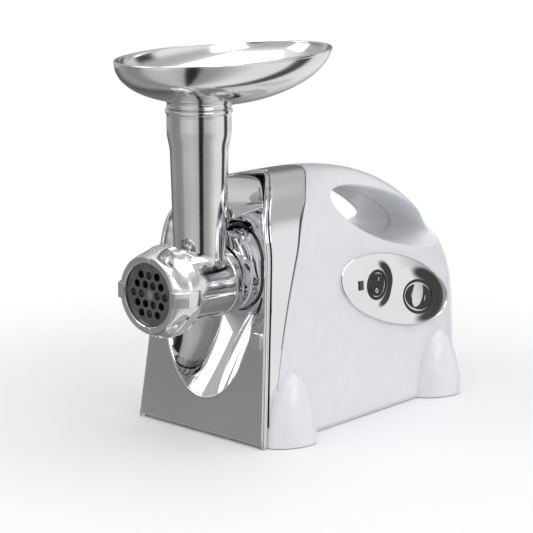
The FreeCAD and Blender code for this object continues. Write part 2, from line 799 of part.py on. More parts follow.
def build_ring():
    lip_back = "ring_lip - ring_front"
    skin = doc.addObject("Part::Cone", "ring_cone")
    skin.Placement = Placement(Vector(), Rotation(Vector(1, 0, 0), -90))
    bind(skin, Radius1="ring_face_radius", Radius2="ring_radius", Height="ring_length * 0.65")
    place(skin, "0", "nose - ring_front", "axis_height")
    skirt = rod("ring_skirt", "ring_radius", "ring_length * 0.65 - ring_front", "ring_length - ring_front")
    lugs = []
    for i, angle in enumerate((0, 90, 180, 270)):
        reach = "lug_reach" if angle in (0, 180) else "0.2"
        lug = block("ring_lug%d" % i, "ring_radius - ring_mouth - 1", "ring_length * 0.8 + " + reach,
                    "lug_width", "ring_mouth + 1.4", "0 - ring_front - " + reach, "axis_height - lug_width / 2")
        turned_lug = doc.addObject("Part::Compound", "ring_lug%d_turned" % i)
        turned_lug.Links = [lug]
        turned_lug.Placement = Placement(Vector(0, 0, axis), Rotation(Vector(0, 1, 0), angle + 4)).multiply(
            Placement(Vector(0, 0, -axis), Rotation()))
        lugs.append(turned_lug)
    hollows = [rod("ring_mouth_bore", "ring_mouth", "0 - ring_front - lug_reach - 1", lip_back + " + 1"),
               rod("ring_thread_bore", "barrel_radius + 0.5 + gap", lip_back, "ring_length - ring_front + 1")]
    shape = cut("ring_shape", fuse("ring_skin", [skin, skirt] + lugs), fuse("ring_hollow", hollows))
    subpart(shape, "ring_nut")


def lean_tray(shape):
    """Moves a shape made with the middle of the rim at zero to its place, leaning on its neck."""
    shape.translate(Vector(0, nose + size("tray_length") / 2 - size("tray_reach"), size("tray_top")))
    hinge = Vector(0, nose + size("tube_offset"), size("tray_top"))
    shape.rotate(hinge, Vector(1, 0, 0), size("tray_lean"))
    return shape


def bowl(grow, sink):
    """Half an ellipsoid, open side up, its bottom drawn forwards, grown all round."""
    half = Part.makeSphere(1, Vector(), Vector(0, 0, 1), -90, 0, 360)
    stretch = Matrix()
    stretch.A11 = size("tray_width") / 2 + grow
    stretch.A22 = size("tray_length") / 2 + grow
    stretch.A33 = size("tray_depth") + grow
    stretch.A23 = size("tray_sag") * stretch.A33
    half = half.transformGeometry(stretch)
    half.translate(Vector(0, 0, sink))
    return lean_tray(half)


def build_tray():
    middle = Vector(0, nose + size("tube_offset"), 0)
    outer = bowl(0, 0)
    neck = size("bell_radius") - size("tube_wall") - size("gap")
    low = size("tube_top") - size("spigot_length")
    rise = size("tray_top") - size("tray_depth") + 6 - low
    spigot = Part.makeCylinder(neck, rise, middle + Vector(0, 0, low))
    seat = size("tube_top") + size("gap")
    collar = Part.makeCylinder(neck + size("tube_wall"), low + rise - seat, middle + Vector(0, 0, seat))
    hole = Part.makeCylinder(neck - size("tray_wall"), rise + 4, middle + Vector(0, 0, low - 2))
    rim_curve = Part.Ellipse(Vector(), size("tray_length") / 2, size("tray_width") / 2)
    rim_face = Part.Face(Part.Wire([rim_curve.toShape()]))
    rim = rim_face.extrude(Vector(0, 0, size("tray_wall")))
    rim.rotate(Vector(), Vector(0, 0, 1), 90)
    rim.translate(Vector(0, 0, -size("tray_wall")))
    tray = outer.fuse([spigot, collar, lean_tray(rim)]).cut(bowl(-size("tray_wall"), 0.01)).cut(hole)
    subpart(solid("tray_shape", tray), "hopper_tray")


# ---------------------------------------------------------------- socket and lock

def build_socket():
    front = "socket_front"
    back = "box_front"
    pieces = [rod("socket_low", "socket_radius", front, back),
              rod("socket_high", "socket_radius", front, back, z="axis_height + socket_rise"),
              block("socket_middle", "2 * socket_radius", back + " - " + front, "socket_rise",
                    "0 - socket_radius", front, "axis_height")]
    bore = rod("socket_bore", "neck_radius + gap", "socket_front - 1", "box_front + 1")
    subpart(cut("socket_shape", fuse("socket_skin", pieces), bore), "head_socket")


def build_lock():
    """A push button beside the head, on a stem with a coil spring that stands as a sleeve."""
    stem = rod("lock_stem", "3", "nose_at_button", "nose_at_button + 24", "button_x", "button_z")
    head = block("lock_pad", "button_width", "button_proud + 5", "button_height", "button_x - button_width / 2",
                 "nose_at_button - button_proud", "button_z - button_height / 2")
    collar = rod("lock_collar", "4.6", "nose_at_button + 15", "nose_at_button + 17", "button_x", "button_z")
    subpart(fuse("lock_shape", [stem, head, collar]), "lock_button")
    sleeve = [("nose_at_button + 17.2", "3.3"), ("nose_at_button + 28", "3.3"), ("nose_at_button + 28", "4.3"),
              ("nose_at_button + 17.2", "4.3")]
    turned("lock_spring", sleeve, "button_x", "0", "button_z")


# ---------------------------------------------------------------- gears

def gear_shape(module, teeth, y0, face, bore, centre, phase):
    """A spur gear with involute flanks, slightly thinned teeth and short tips."""
    pitch = module * teeth / 2
    base = pitch * math.cos(math.radians(20))
    tip = pitch + 0.85 * module
    root = pitch - 1.2 * module
    flank = math.tan(math.radians(20)) - math.radians(20)
    thin = 0.09 * module / pitch
    outline = []
    for tooth in range(teeth):
        middle = phase + math.tau * tooth / teeth
        rising = []
        for r in (root, max(base, root + 0.01), (base + tip) / 2 if base > root else pitch, tip):
            roll = math.acos(min(1.0, base / r))
            half = math.pi / (2 * teeth) + flank - (math.tan(roll) - roll) - thin
            rising.append((r, half))
        for r, half in rising:
            outline.append((r, middle - half))
        for r, half in rising[::-1]:
            outline.append((r, middle + half))
    points = [Vector(centre[0] + r * math.cos(t), nose + y0, centre[1] + r * math.sin(t)) for r, t in outline]
    blank = Part.Face(Part.makePolygon(points + points[:1])).extrude(Vector(0, face, 0))
    hole = Part.makeCylinder(bore, face + 2, Vector(centre[0], nose + y0 - 1, centre[1]), Vector(0, 1, 0))
    return blank.cut(hole)


def place_gears():
    """Shaft centres, in the plane across the auger axis, from the gear sizes alone."""
    first = size("first_module") * (size("pinion_teeth") + size("first_teeth")) / 2
    second = size("second_module") * (size("pinion_teeth") + size("second_teeth")) / 2
    third = size("third_module") * (size("pinion_teeth") + size("output_teeth")) / 2
    motor = (0.0, size("motor_height"))
    lean = math.radians(-60)
    second_shaft = (third * math.cos(lean), axis + third * math.sin(lean))
    across = math.hypot(second_shaft[0] - motor[0], second_shaft[1] - motor[1])
    along = (first ** 2 - second ** 2 + across ** 2) / (2 * across)
    aside = math.sqrt(max(first ** 2 - along ** 2, 0.0))
    unit = ((second_shaft[0] - motor[0]) / across, (second_shaft[1] - motor[1]) / across)
    first_shaft = (motor[0] + unit[0] * along + unit[1] * aside, motor[1] + unit[1] * along - unit[0] * aside)
    return motor, first_shaft, second_shaft


def heading(a, b):
    return math.atan2(b[1] - a[1], b[0] - a[0])


def build_gears():
    motor, first_shaft, second_shaft = place_gears()
    output = (0.0, axis)
    few = int(size("pinion_teeth"))
    inside = size("box_front") + size("box_wall")
    output_y = inside + 2
    second_y = output_y + size("output_face") + 1.5
    first_y = second_y + size("second_face") + 1.5
    shaft = size("gear_shaft_radius")
    spur = [
        ("motor_pinion", "first_module", few, first_y, size("first_face"), size("motor_shaft_radius") * 0.75,
         motor, heading(motor, first_shaft)),
        ("first_gear", "first_module", int(size("first_teeth")), first_y + 0.5, size("first_face") - 1, shaft,
         first_shaft, heading(first_shaft, motor) + math.pi / size("first_teeth")),
        ("first_pinion", "second_module", few, second_y, size("second_face"), shaft, first_shaft,
         heading(first_shaft, second_shaft)),
        ("second_gear", "second_module", int(size("second_teeth")), second_y + 0.5, size("second_face") - 1,
         shaft, second_shaft, heading(second_shaft, first_shaft) + math.pi / size("second_teeth")),
        ("second_pinion", "third_module", few, output_y, size("output_face"), shaft, second_shaft,
         heading(second_shaft, output)),
        ("output_gear", "third_module", int(size("output_teeth")), output_y + 1, size("output_face") - 2,
         size("output_radius"), output, heading(output, second_shaft) + math.pi / size("output_teeth")),
    ]
    for label, module, teeth, y0, face, bore, centre, phase in spur:
        gear = gear_shape(size(module), teeth, y0, face, bore, centre, phase)
        subpart(solid(label + "_shape", gear), label)
    bushes = []
    for label, centre in (("first_shaft", first_shaft), ("second_shaft", second_shaft)):
        start = Vector(centre[0], nose + size("box_front") + 1, centre[1])
        bar = Part.makeCylinder(shaft, size("box_depth") - size("box_wall"), start, Vector(0, 1, 0))
        subpart(solid(label + "_shape", bar), label)
        for low in (size("box_front") + 0.6, box_back - size("box_wall") - 2.2):
            bushes.append((centre, shaft, low, size("box_wall") + 0.8))
    bushes.append((output, size("output_radius"), size("box_front") - 0.5, size("box_wall") + 2.3))
    shells = []
    for centre, bore, low, length in bushes:
        start = Vector(centre[0], nose + low, centre[1])
        ring = Part.makeCylinder(bore + size("bush_wall"), length, start, Vector(0, 1, 0))
        shells.append(ring.cut(Part.makeCylinder(bore + size("running"), length, start, Vector(0, 1, 0))))
    subpart(solid("bushes_shape", Part.makeCompound(shells)), "gear_bushes")
    build_gearbox(bushes)


def plate_outline(y0, depth, grow):
    width = size("box_width") + 2 * grow
    low = size("box_bottom") - grow
    high = size("box_top") + grow
    slab = Part.makeBox(width, depth, high - low, Vector(-width / 2, y0, low))
    upright = [edge for edge in slab.Edges if abs(edge.tangentAt(edge.FirstParameter).y) > 0.9]
    return slab.makeFillet(size("box_corner"), upright)


def bore_at(centre, radius, y0, depth):
    return Part.makeCylinder(radius, depth, Vector(centre[0], y0, centre[1]), Vector(0, 1, 0))


def lid_screw_places():
    across = size("box_width") / 2 - 8
    return [(x, z) for x in (-across, across) for z in (size("box_bottom") + 8, size("box_top") - 8)]


def build_gearbox(bushes):
    front = size("box_front")
    wall = size("box_wall")
    box = plate_outline(front, size("box_depth") - wall, 0)
    room = plate_outline(front + wall, size("box_depth"), -wall)
    motor = (0.0, size("motor_height"))
    lid = plate_outline(box_back - wall, wall, 0)
    holes = [bore_at(centre, bore + size("bush_wall"), low, length) for centre, bore, low, length in bushes]
    posts = [bore_at(at, size("box_boss"), front, size("box_depth") - wall).common(box)
             for at in lid_screw_places()]
    screw_holes = [bore_at(at, pilot, box_back - 10, 12) for at in lid_screw_places()]
    box = box.cut(room).fuse(posts).cut(holes + screw_holes)
    box = box.cut(bore_at((0.0, axis), size("output_radius") + size("gap"), front - 1, wall + 2))
    lid = lid.cut(holes + screw_holes).cut(bore_at(motor, size("motor_shaft_radius") + 2, box_back - 10, 20))
    lid = lid.cut(bore_at((0.0, axis), size("output_radius") * 0.6 + size("gap"), box_back - 10, 20))
    for shape, label in ((box, "gearbox_housing"), (lid, "gearbox_cover")):
        shape.translate(Vector(0, nose, 0))
        subpart(solid(label + "_shape", shape), label)
    tail = front + wall + 1.5
    start = Vector(0, nose + front - 1.5, axis)
    shaft = Part.makeCylinder(size("output_radius"), size("output_face") + 3 + wall, start, Vector(0, 1, 0))
    tail_start = Vector(0, nose + tail, axis)
    shaft = shaft.fuse(Part.makeCylinder(size("output_radius") * 0.6, box_back - tail, tail_start,
                                         Vector(0, 1, 0)))
    side = size("drive_square") + 2 * size("gap")
    socket = Part.makeBox(side, 13, side, Vector(-side / 2, nose + front - 3, axis - side / 2))
    subpart(solid("output_shaft_shape", shaft.cut(socket)), "output_shaft")


# ---------------------------------------------------------------- motor

def build_motor():
    z = "motor_height"
    shaft = "motor_shaft_radius"
    front = "motor_front"
    middle = "motor_front + bearing_width + fan_width + winding_end + 4"
    core_end = middle + " + stator_length"
    tip = "first_stage - 1.5"
    turned("motor_shaft", [(tip, "0"), ("motor_back", "0"), ("motor_back", shaft), (front, shaft),
                           (front, shaft + " * 0.75"), (tip, shaft + " * 0.75")], z=z)
    turned("armature_core", [(middle, shaft), (core_end, shaft), (core_end, "rotor_radius"),
                             (middle, "rotor_radius")], z=z)
    windings = []
    for name, low, high in (("front_winding", middle + " - winding_end", middle),
                            ("rear_winding", core_end, core_end + " + winding_end")):
        ring = cut(name + "_ring", rod(name + "_skin", "rotor_radius * 0.85", low, high, z=z),
                   rod(name + "_bore", shaft, low, high, z=z))
        windings.append(ring)
    group = doc.addObject("Part::Compound", "armature_winding_group")
    group.Links = windings
    subpart(group, "armature_winding")
    start = core_end + " + winding_end + 1"
    turned("commutator", [(start, shaft), (start + " + commutator_length", shaft),
                          (start + " + commutator_length", "commutator_radius"), (start, "commutator_radius")], z=z)
    fan_y = front + " + bearing_width + 3"
    hub = [rod("fan_hub", "10", fan_y, fan_y + " + fan_width", z=z),
           rod("fan_disc", "fan_radius", fan_y + " + fan_width - 1.6", fan_y + " + fan_width", z=z)]
    blades = []
    for i in range(int(size("fan_blades"))):
        corner = Vector(9, nose + motor_front + size("bearing_width") + 3, -0.7)
        blade = Part.makeBox(size("fan_radius") - 9.5, size("fan_width") - 1, 1.4, corner)
        blade.rotate(Vector(), Vector(0, 1, 0), 360 * i / size("fan_blades"))
        blade.translate(Vector(0, 0, size("motor_height")))
        blades.append(solid("fan_blade%d" % i, blade))
    bore = rod("fan_bore", shaft, fan_y, fan_y + " + fan_width", z=z)
    subpart(cut("fan_shape", fuse("fan_skin", hub + blades), bore), "cooling_fan")
    build_stator(middle, core_end)
    bearings = []
    for i, low in enumerate((front, "motor_back - bearing_width - 1")):
        high = low + " + bearing_width"
        bearings.append(cut("bearing%d" % i, rod("bearing%d_skin" % i, "bearing_radius", low, high, z=z),
                            rod("bearing%d_bore" % i, shaft + " + running", low, high, z=z)))
    pair = doc.addObject("Part::Compound", "bearing_pair")
    pair.Links = bearings
    subpart(pair, "motor_bearings")
    for label, low, depth in (("front_bracket", front, "bearing_width"),
                              ("rear_bracket", "motor_back - bearing_width - 1", "bearing_width")):
        body = doc.addObject("PartDesign::Body", label)
        wide = "stator_radius + 4"
        left = "0 - (%s)" % wide
        corners = [(left, "plate_top - motor_height"), (wide, "plate_top - motor_height"), (wide, "14"),
                   ("16", "stator_radius"), ("0 - 16", "stator_radius"), (left, "14")]
        outline = polygon_sketch(body, label + "_outline", "XZ_Plane", corners)
        pad(body, label + "_plate", outline, depth, reverse=True)
        holes = [("0", "0", "bearing_radius")]
        holes += [("%d * 27" % side, "0 - 8", "8") for side in (-1, 1)]
        holes += [("%d * tie_x" % side, "tie_z", "screw_radius + pilot_clear") for side in (-1, 1)]
        through_pocket(body, label + "_holes", circle_sketch(body, label + "_hole_field", "XZ_Plane", holes))
        place(body, "0", "nose + " + low, z)
        subpart(body, label)


def build_stator(middle, core_end):
    z = "motor_height"
    ring = rod("stator_skin", "stator_radius", middle, core_end, z=z)
    room = rod("stator_room", "rotor_radius + air_gap", middle + " - 1", core_end + " + 1", z=z)
    slots = []
    ways = []
    for i, side in enumerate((-1, 1)):
        slots.append(block("stator_slot%d" % i, "9", "stator_length + 2", "38", "0 - 4.5 + %d * 24.5" % side,
                           middle + " - 1", z + " - 19"))
        ways.append(rod("stator_screw_way%d" % i, "screw_radius + gap", middle + " - 1", core_end + " + 1",
                        "%d * tie_x" % side, z + " + tie_z"))
    subpart(cut("stator_shape", ring, fuse("stator_hollow", [room] + slots + ways)), "stator_core")
    coils = []
    for i, side in enumerate((-1, 1)):
        for j, (low, high) in enumerate(((middle + " - 7", middle), (core_end, core_end + " + 7"))):
            coils.append(block("coil%d%d" % (i, j), "9", high + " - (" + low + ")", "40",
                               "0 - 4.5 + %d * 25.5" % side, low, z + " - 20"))
    group = doc.addObject("Part::Compound", "field_coil_group")
    group.Links = coils
    subpart(group, "field_coils")
    brush_y = core_end + " + winding_end + 1 + commutator_length / 2 - 4"
    holders = []
    brushes = []
    for i, side in enumerate((-1, 1)):
        reach = "commutator_radius + 0.3"
        low_x = reach if side > 0 else "0 - (%s) - brush_length" % reach
        brushes.append(block("brush%d" % i, "brush_length", "8", "5", low_x, brush_y, z + " - 2.5"))
        holder_x = "commutator_radius + 3" if side > 0 else "0 - (commutator_radius + 3) - 18"
        depth = "motor_back - bearing_width - 1 - (%s - 2)" % brush_y
        shell = block("holder_skin%d" % i, "18", depth, "9", holder_x, brush_y + " - 2", z + " - 4.5")
        bore = block("holder_bore%d" % i, "20", "8", "5", holder_x + " - 1", brush_y, z + " - 2.5")
        holders.append(cut("holder%d" % i, shell, bore))
    for label, links in (("carbon_brushes", brushes), ("brush_holders", holders)):
        pair = doc.addObject("Part::Compound", label + "_pair")
        pair.Links = links
        subpart(pair, label)


# ---------------------------------------------------------------- floor, feet, gland and fasteners

def build_floor():
    skin = casing_block(size("wall") + 0.4, -5).common(side_slab(nose_line, size("cover_wall") + 1, 100))
    slab = Part.makeBox(400, 600, size("plate_thickness"), Vector(-200, -100, size("floor_gap") + 0.5))
    plate = skin.common(slab)
    clear = scoop(size("cover_wall") + 0.5, -14, size("socket_back"))
    plate = plate.cut(clear)
    vents = [Part.makeBox(3, 34, 10, Vector(-40 + 10 * i, 150, 0)) for i in range(9)]
    ways = [Part.makeCylinder(pilot, 10, Vector(floor_screw_x(side), y, 0)) for side, y in floor_places()]
    plate = plate.cut(vents + ways)
    plate.translate(Vector(0, nose, 0))
    subpart(solid("floor_shape", plate), "base_plate")
    pads = []
    for side in (-1, 1):
        for y in ("front_foot", "rear_foot"):
            name = "pad_%d_%s" % (side + 1, y)
            disc = post(name, "pad_radius", "0", "pad_height", "%d * pad_x" % side, y)
            x = "%d * pad_x" % side
            hole = post(name + "_hole", "screw_radius + pilot_clear", "0 - 1", "pad_height + 1", x, y)
            sink = post(name + "_sink", "screw_head + gap", "0 - 1", "1.2", x, y)
            pads.append(cut(name + "_shape", disc, fuse(name + "_room", [hole, sink])))
    group = doc.addObject("Part::Compound", "pad_group")
    group.Links = pads
    subpart(group, "rubber_feet")


def build_gland():
    turned("cord_gland", [("body_length - 9", "gland_bore"), ("body_length", "gland_bore"),
                          ("body_length", "gland_radius * 0.6"), ("body_length - 3", "gland_radius * 0.69"),
                          ("body_length - 9", "gland_radius * 0.69")], z="gland_height")


def screw(head, radius, length, seat, towards):
    """A pan-head screw: its head stands on the seat and its shank runs on from there."""
    depth = 2.2 if length > 10 else 1.1
    pan = Part.makeCylinder(head, depth, seat - towards * depth, towards)
    return pan.fuse(Part.makeCylinder(radius, length, seat, towards))


def build_screws():
    """Every set of like screws is one node: gearbox lid, motor, casing halves, base plate and feet."""
    radius = size("screw_radius")
    head = size("screw_head")
    upwards = Vector(0, 0, 1)
    rearwards = Vector(0, 1, 0)
    lid = [screw(head, radius, 9, Vector(x, nose + box_back, z), -rearwards) for x, z in lid_screw_places()]
    height = size("motor_height") + size("tie_z")
    ties = [screw(size("tie_head"), radius, size("motor_length") + 2,
                  Vector(size("tie_x") * side, nose + motor_front, height), rearwards) for side in (-1, 1)]
    halves = [screw(head, radius, 18, Vector(-12, nose + y, z), Vector(1, 0, 0)) for y, z in joining_places()]
    under = size("floor_gap") + 0.5
    plate = [screw(head, radius, 11, Vector(floor_screw_x(side), nose + y, under), upwards)
             for side, y in floor_places()]
    foot_x = size("foot_reach") - size("pad_radius") - 5
    feet = [screw(head, radius, 10, Vector(side * foot_x, nose + y, 1.2), upwards)
            for side in (-1, 1) for y in (size("front_foot"), size("rear_foot"))]
    for label, group in (("gearbox_screws", lid), ("motor_screws", ties), ("casing_screws", halves),
                         ("base_screws", plate), ("foot_screws", feet)):
        subpart(solid(label + "_group", Part.makeCompound(group)), label)


build_head()
build_auger()
build_plate()
build_blade()
build_ring()
build_tray()
build_socket()
build_lock()
build_gears()
build_motor()
build_floor()
build_gland()
build_screws()
build_panel()
build_casing()
doc.recompute()

for item in doc.Objects:
    if "Invalid" in item.State or "Error" in item.State:
        raise RuntimeError("%s did not compute: %s" % (item.Label, item.State))
for item in subparts:
    if item.Shape.isNull() or not item.Shape.isValid() or not item.Shape.Solids:
        raise RuntimeError("%s has no sound solid" % item.Label)

os.makedirs("parts", exist_ok=True)
for item in subparts:
    item.Shape.exportStep("parts/%s.step" % item.Label)
    box = item.Shape.BoundBox
    print("%-22s %d solid(s) %9.0f mm3  %s" % (item.Label, len(item.Shape.Solids), item.Shape.Volume,
          [round(v, 1) for v in (box.XMin, box.YMin, box.ZMin, box.XMax, box.YMax, box.ZMax)]))
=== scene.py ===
import json
import math
import bmesh
import bpy
from mathutils import Matrix, Vector


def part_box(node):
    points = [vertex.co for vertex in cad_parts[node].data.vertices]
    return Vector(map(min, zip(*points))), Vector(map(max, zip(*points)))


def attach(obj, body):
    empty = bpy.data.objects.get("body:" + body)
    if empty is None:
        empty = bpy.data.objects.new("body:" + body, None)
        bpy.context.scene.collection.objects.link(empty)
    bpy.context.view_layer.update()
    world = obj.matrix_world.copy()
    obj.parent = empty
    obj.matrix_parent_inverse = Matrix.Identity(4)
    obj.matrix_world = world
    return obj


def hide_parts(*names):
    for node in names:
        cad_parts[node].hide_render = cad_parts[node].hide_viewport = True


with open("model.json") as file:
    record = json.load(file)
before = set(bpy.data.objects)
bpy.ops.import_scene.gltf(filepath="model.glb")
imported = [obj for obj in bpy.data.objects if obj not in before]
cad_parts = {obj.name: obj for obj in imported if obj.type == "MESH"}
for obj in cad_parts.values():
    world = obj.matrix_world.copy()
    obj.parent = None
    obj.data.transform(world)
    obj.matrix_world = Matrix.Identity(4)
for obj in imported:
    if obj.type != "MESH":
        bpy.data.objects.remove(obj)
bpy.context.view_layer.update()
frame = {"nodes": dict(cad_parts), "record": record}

mm = 0.001
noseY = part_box("cord_gland")[1].y - 0.274   # bottom front edge of the casing, 274 mm ahead of its rear
axisHeight = 126                            # auger axis, in mm like every size below

# Lengths in the dictionaries are millimetres; y is measured rearwards from noseY.


# Helpers

def smoothStep(low, high, value):
    share = min(max((value - low) / (high - low), 0.0), 1.0)
    return share * share * (3 - 2 * share)


def mix(a, b, share):
    return a + (b - a) * share


def shapedGrid(bm, columns, rows, spot):
    # places a create_grid sheet: spot(u, v) gives the point in mm for u and v from 0 to 1
    made = bmesh.ops.create_grid(bm, x_segments=columns, y_segments=rows, size=0.5)
    for vert in made["verts"]:
        vert.co = spot(vert.co.x + 0.5, vert.co.y + 0.5)
    return made["verts"]


def stationGrid(bm, columns, stations, closed=False):
    # a skin through a list of rings: each station is a function of u from 0 to 1
    count = len(stations) if closed else len(stations) - 1

    def spot(u, v):
        return stations[round(v * count) % len(stations)](u)
    return shapedGrid(bm, columns, count, spot)


def closeSeams(bm, distance=0.004):
    bmesh.ops.remove_doubles(bm, verts=bm.verts, dist=distance)
    bmesh.ops.dissolve_degenerate(bm, edges=bm.edges, dist=0.0005)
    bmesh.ops.recalc_face_normals(bm, faces=bm.faces)


def joinUp(bm, distance):
    bmesh.ops.remove_doubles(bm, verts=bm.verts, dist=distance)
    bmesh.ops.recalc_face_normals(bm, faces=bm.faces)


def turnedProfile(bm, points, steps, centre, direction):
    # spins an outline of (along, radius) about an axis through centre
    along = Vector(direction)
    side = along.orthogonal().normalized()
    verts = [bm.verts.new(Vector(centre) + along * a + side * r) for a, r in points]
    edges = [bm.edges.new(pair) for pair in zip(verts, verts[1:])]
    bmesh.ops.spin(bm, geom=verts + edges, cent=centre, axis=along, dvec=(0, 0, 0), angle=math.tau,
                   steps=steps, use_merge=True)
    return verts


def roundedBlock(bm, size, at, bevel, segments):
    # a cube with rounded edges
    made = bmesh.ops.create_cube(bm, size=1.0)
    verts = made["verts"]
    bmesh.ops.scale(bm, vec=size, verts=verts)
    edges = list({edge for vert in verts for edge in vert.link_edges})
    rounded = bmesh.ops.bevel(bm, geom=verts + edges, offset=bevel, segments=segments, affect="EDGES",
                              profile=0.5, material=-1)
    bmesh.ops.translate(bm, vec=at, verts=rounded["verts"])


def faceOutwards(bm):
    # every separate skin is turned so that its widest face looks away from the middle plane
    bmesh.ops.recalc_face_normals(bm, faces=bm.faces)
    left = set(bm.faces)
    while left:
        island, fresh = set(), [left.pop()]
        while fresh:
            face = fresh.pop()
            island.add(face)
            for edge in face.edges:
                for near in edge.link_faces:
                    if near in left:
                        left.discard(near)
                        fresh.append(near)
        widest = max(island, key=lambda face: abs(face.calc_center_median().x))
        if widest.normal.x * widest.calc_center_median().x < 0:
            bmesh.ops.reverse_faces(bm, faces=list(island))


def makePiece(bm, name, body, nodes, materials, creaseAngle=35, wall=0.0):
    # turns a finished bmesh in mm into a piece that stands for CAD nodes; an open skin gets its wall inwards
    bmesh.ops.translate(bm, vec=(0, noseY / mm, 0), verts=bm.verts)
    bmesh.ops.scale(bm, vec=(mm, mm, mm), verts=bm.verts)
    mesh = bpy.data.meshes.new(name)
    bm.to_mesh(mesh)
    bm.free()
    mesh.shade_smooth()
    mesh.set_sharp_from_angle(angle=math.radians(creaseAngle))
    for material in materials:
        mesh.materials.append(material)
    piece = bpy.data.objects.new(name, mesh)
    bpy.context.scene.collection.objects.link(piece)
    if wall:
        thicken = piece.modifiers.new("wall", "SOLIDIFY")
        thicken.thickness = wall * mm
        thicken.offset = -1
    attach(piece, body)
    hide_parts(*nodes)
    print("made", name, len(mesh.polygons), "faces")
    return piece


# Materials

def newMaterial(name, settings):
    material = bpy.data.materials.new(name)
    material.use_nodes = True
    nodes = material.node_tree.nodes
    shader = nodes["Principled BSDF"]
    for socket, value in settings.items():
        shader.inputs[socket].default_value = value
    return material, material.node_tree, shader


def addNode(tree, kind, values=None):
    made = tree.nodes.new("ShaderNode" + kind)
    for socket, value in (values or {}).items():
        made.inputs[socket].default_value = value
    return made


def roughnessFrom(tree, shader, pattern, low, high):
    spread = addNode(tree, "MapRange", {"To Min": low, "To Max": high})
    tree.links.new(pattern, spread.inputs["Value"])
    tree.links.new(spread.outputs["Result"], shader.inputs["Roughness"])


def bumpFrom(tree, shader, pattern, strength):
    bump = addNode(tree, "Bump", {"Strength": strength, "Distance": 0.0002})
    tree.links.new(pattern, bump.inputs["Height"])
    tree.links.new(bump.outputs["Normal"], shader.inputs["Normal"])


def noisePattern(tree, scale, detail, stretch=(1, 1, 1)):
    where = addNode(tree, "TexCoord")
    turn = addNode(tree, "Mapping", {"Scale": stretch})
    noise = addNode(tree, "TexNoise", {"Scale": scale, "Detail": detail})
    tree.links.new(where.outputs["Object"], turn.inputs["Vector"])
    tree.links.new(turn.outputs["Vector"], noise.inputs["Vector"])
    return noise.outputs["Fac"]


def colourFrom(tree, shader, pattern, dark, light):
    ramp = addNode(tree, "ValToRGB")
    ramp.color_ramp.elements[0].position = 0.3
    ramp.color_ramp.elements[0].color = (*dark, 1)
    ramp.color_ramp.elements[1].position = 0.7
    ramp.color_ramp.elements[1].color = (*light, 1)
    tree.links.new(pattern, ramp.inputs["Fac"])
    tree.links.new(ramp.outputs["Color"], shader.inputs["Base Color"])


def metalMaterial(name, dark, light, smooth, rough, scale, stretch=(1, 1, 1), bump=0.05):
    # a metal whose tone and shine vary a little over the surface
    material, tree, shader = newMaterial(name, {"Metallic": 1.0})
    pattern = noisePattern(tree, scale, 5.0, stretch)
    colourFrom(tree, shader, pattern, dark, light)
    roughnessFrom(tree, shader, pattern, smooth, rough)
    bumpFrom(tree, shader, pattern, bump)
    return material


def plasticMaterial(name, dark, light, smooth, rough, scale, coat=0.0, bump=0.03):
    material, tree, shader = newMaterial(name, {"Coat Weight": coat, "Coat Roughness": 0.05, "IOR": 1.5})
    pattern = noisePattern(tree, scale, 3.0)
    colourFrom(tree, shader, pattern, dark, light)
    roughnessFrom(tree, shader, pattern, smooth, rough)
    bumpFrom(tree, shader, pattern, bump)
    return material


mirrorPlate = metalMaterial("mirror plate", (0.80, 0.80, 0.82), (0.86, 0.86, 0.87), 0.02, 0.06, 9, bump=0.01)
polishedCast = metalMaterial("polished cast aluminium", (0.74, 0.74, 0.745), (0.86, 0.86, 0.86), 0.06,
                             0.15, 38, bump=0.06)
satinCast = metalMaterial("satin cast aluminium", (0.60, 0.60, 0.605), (0.76, 0.76, 0.76), 0.20, 0.34,
                          120, bump=0.10)
spunPan = metalMaterial("spun tray aluminium", (0.75, 0.75, 0.75), (0.84, 0.84, 0.84), 0.09, 0.19, 30,
                        (1, 0.35, 1.6), 0.04)
glossWhite = plasticMaterial("gloss white casing", (0.78, 0.79, 0.81), (0.82, 0.83, 0.85), 0.20, 0.27,
                             60, 0.35, 0.01)
satinWhite = plasticMaterial("satin white floor plate", (0.70, 0.71, 0.72), (0.76, 0.77, 0.78), 0.45,
                             0.6, 300)
glossBlack = plasticMaterial("gloss black switch", (0.010, 0.010, 0.012), (0.018, 0.018, 0.021), 0.18,
                             0.30, 90, 0.4)
satinBlack = plasticMaterial("satin black moulding", (0.014, 0.014, 0.016), (0.024, 0.024, 0.026), 0.38,
                             0.55, 400)
# near-black matte for the faces inside the mirror cover's groove: painted shade in the groove
grooveShade = plasticMaterial("painted groove shade", (0.006, 0.006, 0.007), (0.012, 0.012, 0.013), 0.5, 0.7, 200)
markWhite = plasticMaterial("white print", (0.72, 0.72, 0.74), (0.80, 0.80, 0.82), 0.4, 0.5, 500)
footRubber = plasticMaterial("foot rubber", (0.015, 0.015, 0.015), (0.03, 0.03, 0.03), 0.7, 0.9, 700,
                             bump=0.3)
plateSteel = metalMaterial("dark plate steel", (0.20, 0.20, 0.21), (0.31, 0.31, 0.32), 0.28, 0.42, 150,
                           bump=0.12)
bladeSteel = metalMaterial("ground blade steel", (0.55, 0.55, 0.56), (0.66, 0.66, 0.67), 0.14, 0.26, 90,
                           (1, 8, 1), 0.08)
gearSteel = metalMaterial("machined gear steel", (0.36, 0.36, 0.37), (0.46, 0.46, 0.47), 0.22, 0.36,
                          160, (1, 6, 1), 0.1)
sheetSteel = metalMaterial("stacked motor sheets", (0.20, 0.20, 0.21), (0.34, 0.34, 0.36), 0.35, 0.5,
                           40, (1, 60, 1), 0.4)
copperWire = metalMaterial("lacquered copper wire", (0.50, 0.20, 0.09), (0.78, 0.40, 0.22), 0.25, 0.4,
                           60, (1, 14, 1), 0.5)
